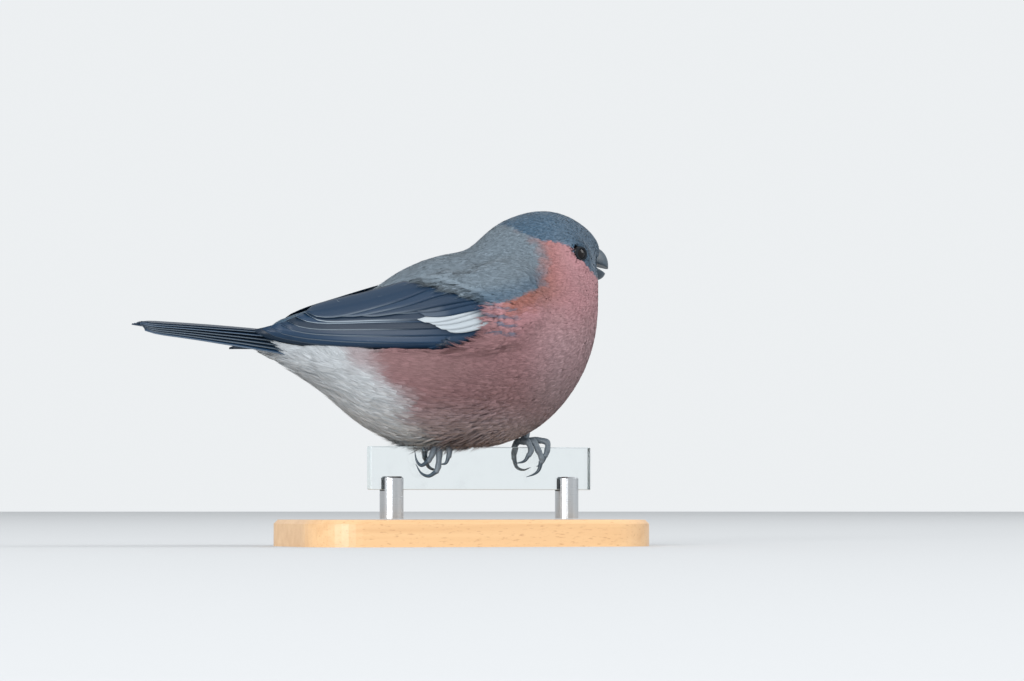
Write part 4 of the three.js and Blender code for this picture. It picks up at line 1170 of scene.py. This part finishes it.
is_head = head_share > 0.5
head_places = to_head(roots)
for name, chosen in (
    ("nape", head_places[:, 0] <= 0),
    ("face_right", (head_places[:, 0] > 0) & (head_places[:, 1] <= 0)),
    ("face_left", (head_places[:, 0] > 0) & (head_places[:, 1] > 0)),
):
    coat = tufts("coat_" + name, is_head & chosen)
SECTORS = [
    "flank_right", "shoulder_right", "mantle_right", "mantle_left",
    "shoulder_left", "flank_left", "belly_left", "belly_right",
]
SECTOR_TURN = 360 / len(SECTORS)
MIDDLE_OF_BODY = -12
sector = np.floor((round_body + SECTOR_TURN / 2) % 360 / SECTOR_TURN).astype(int)
for number, name in enumerate(SECTORS):
    for part, behind in (("front", False), ("rear", True)):
        chosen = ~is_head & (sector == number) & ((roots[:, 0] < MIDDLE_OF_BODY) == behind)
        if chosen.sum() > 10:
            coat = tufts("coat_%s_%s" % (name, part), chosen)


# The stand: a cut length of clear acrylic sheet with polished faces and sawn edges, held in the slots of two
# brushed steel rods that are let into an oiled beech base.
sheet = copy_of("stand_perch")
bpy.ops.mesh.select_all(action="SELECT")
bpy.ops.mesh.tris_convert_to_quads(face_threshold=0.1)
bpy.ops.mesh.bevel(offset=0.00035, segments=3, profile=0.6)
bpy.ops.object.mode_set(mode="OBJECT")
sheet.name = "clear_sheet"
sheet.data.materials.clear()
# Clear acrylic: cast sheet, polished, so the floor shows through it and lights are sharp. Faint handling marks
# of about this many millimetres dull it in places.
ACRYLIC, SCUFF = "#f4f9fa", 4.5455
acrylic, tree = start_material("clear_acrylic")
place = add(tree, "ShaderNodeTexCoord")
scuffs = add(tree, "ShaderNodeTexNoise", {
    "Vector": (place, "Object"), "Scale": 1000 / SCUFF, "Detail": 6.0,
})
haze = add(tree, "ShaderNodeMapRange", {
    "Value": (scuffs, "Fac"), "From Min": 0.45, "From Max": 0.75, "To Min": 0.02, "To Max": 0.14,
})
shader = add(tree, "ShaderNodeBsdfPrincipled", {
    "Base Color": linear(ACRYLIC), "Roughness": (haze, "Result"), "IOR": 1.49, "Transmission Weight": 1.0,
})
add(tree, "ShaderNodeOutputMaterial", {"Surface": (shader, "BSDF")})
sheet.data.materials.append(acrylic)
# Sawn acrylic: the saw leaves the edge frosted, pale and half matt, with marks of this many millimetres.
SAWN, SAWN_LIGHT, SAW_MARK = "#a9b4b7", "#c3cccf", 0.83333
sawn, tree = start_material("sawn_acrylic_edge")
place = add(tree, "ShaderNodeTexCoord")
saw_marks = add(tree, "ShaderNodeTexNoise", {
    "Vector": (place, "Object"), "Scale": 1000 / SAW_MARK, "Detail": 2.0,
})
tone = add(tree, "ShaderNodeMix", {
    0: (saw_marks, "Fac"), 6: linear(SAWN), 7: linear(SAWN_LIGHT),
}, data_type="RGBA")
shader = add(tree, "ShaderNodeBsdfPrincipled", {"Base Color": (tone, 2), "Roughness": 0.45})
add(tree, "ShaderNodeOutputMaterial", {"Surface": (shader, "BSDF")})
sheet.data.materials.append(sawn)
through_sheet = Vector((-math.sin(PERCH_TURN), math.cos(PERCH_TURN), 0))
for face in sheet.data.polygons:
    face.material_index = 0 if abs(face.normal.dot(through_sheet)) > 0.9 else 1
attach(sheet, "root")
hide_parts("stand_perch")

# Brushed steel: turned and brushed round the rod, so its light is drawn out into fine bands of this width and
# length in millimetres.
STEEL, BRUSH_WIDE, BRUSH_LONG = "#b9bcbf", 0.16667, 8.3333
steel, tree = start_material("brushed_steel")
place = add(tree, "ShaderNodeTexCoord")
stretch = add(tree, "ShaderNodeMapping", {
    "Vector": (place, "Object"), "Scale": (1000 / BRUSH_LONG, 1000 / BRUSH_LONG, 1000 / BRUSH_WIDE),
})
brushing = add(tree, "ShaderNodeTexNoise", {"Vector": (stretch, "Vector"), "Scale": 1.0, "Detail": 5.0})
rough = add(tree, "ShaderNodeMapRange", {"Value": (brushing, "Fac"), "To Min": 0.2, "To Max": 0.42})
bump = add(tree, "ShaderNodeBump", {"Height": (brushing, "Fac"), "Strength": 0.12, "Distance": 0.0001})
shader = add(tree, "ShaderNodeBsdfPrincipled", {
    "Base Color": linear(STEEL), "Metallic": 1.0, "Roughness": (rough, "Result"), "Normal": (bump, "Normal"),
})
add(tree, "ShaderNodeOutputMaterial", {"Surface": (shader, "BSDF")})
# Beech: planed and oiled, so it is warm, close-grained and softly glossy, with the short dark flecks of its
# rays. Its grain and flecks are this long and wide in millimetres, the flecks coarser than real, so that they show.
BEECH, BEECH_LIGHT, RAY = "#b98d5f", "#d9b78c", "#9a6f45"
GRAIN_LONG, GRAIN_WIDE = 75.758, 3.7879
FLECK_LONG, FLECK_WIDE = 2, 0.38462
beech, tree = start_material("oiled_beech")
place = add(tree, "ShaderNodeTexCoord")
stretch = add(tree, "ShaderNodeMapping", {
    "Vector": (place, "Object"), "Scale": (1000 / GRAIN_LONG, 1000 / GRAIN_WIDE, 1000 / GRAIN_WIDE),
})
figure = add(tree, "ShaderNodeTexNoise", {
    "Vector": (stretch, "Vector"), "Scale": 1.0, "Detail": 8.0, "Distortion": 0.4,
})
flecks = add(tree, "ShaderNodeMapping", {
    "Vector": (place, "Object"), "Scale": (1000 / FLECK_LONG, 1000 / FLECK_WIDE, 1000 / FLECK_WIDE),
})
fleck = add(tree, "ShaderNodeTexNoise", {"Vector": (flecks, "Vector"), "Scale": 1.0, "Detail": 2.0})
dark = add(tree, "ShaderNodeMapRange", {
    "Value": (fleck, "Fac"), "From Min": 0.6, "From Max": 0.75, "To Max": 0.6,
})
coloured = linear(BEECH)
for share, over in (((figure, "Fac"), BEECH_LIGHT), ((dark, "Result"), RAY)):
    mixed = add(tree, "ShaderNodeMix", {0: share, 6: coloured, 7: linear(over)}, data_type="RGBA")
    coloured = (mixed, 2)
bump = add(tree, "ShaderNodeBump", {"Height": (fleck, "Fac"), "Strength": 0.1, "Distance": 0.0001})
shader = add(tree, "ShaderNodeBsdfPrincipled", {
    "Base Color": coloured, "Roughness": 0.42, "Normal": (bump, "Normal"), "Coat Weight": 0.15,
})
add(tree, "ShaderNodeOutputMaterial", {"Surface": (shader, "BSDF")})
for node, finish in (("stand_rod_rear", steel), ("stand_rod_front", steel), ("stand_base", beech)):
    cad[node].data.materials.clear()
    cad[node].data.materials.append(finish)
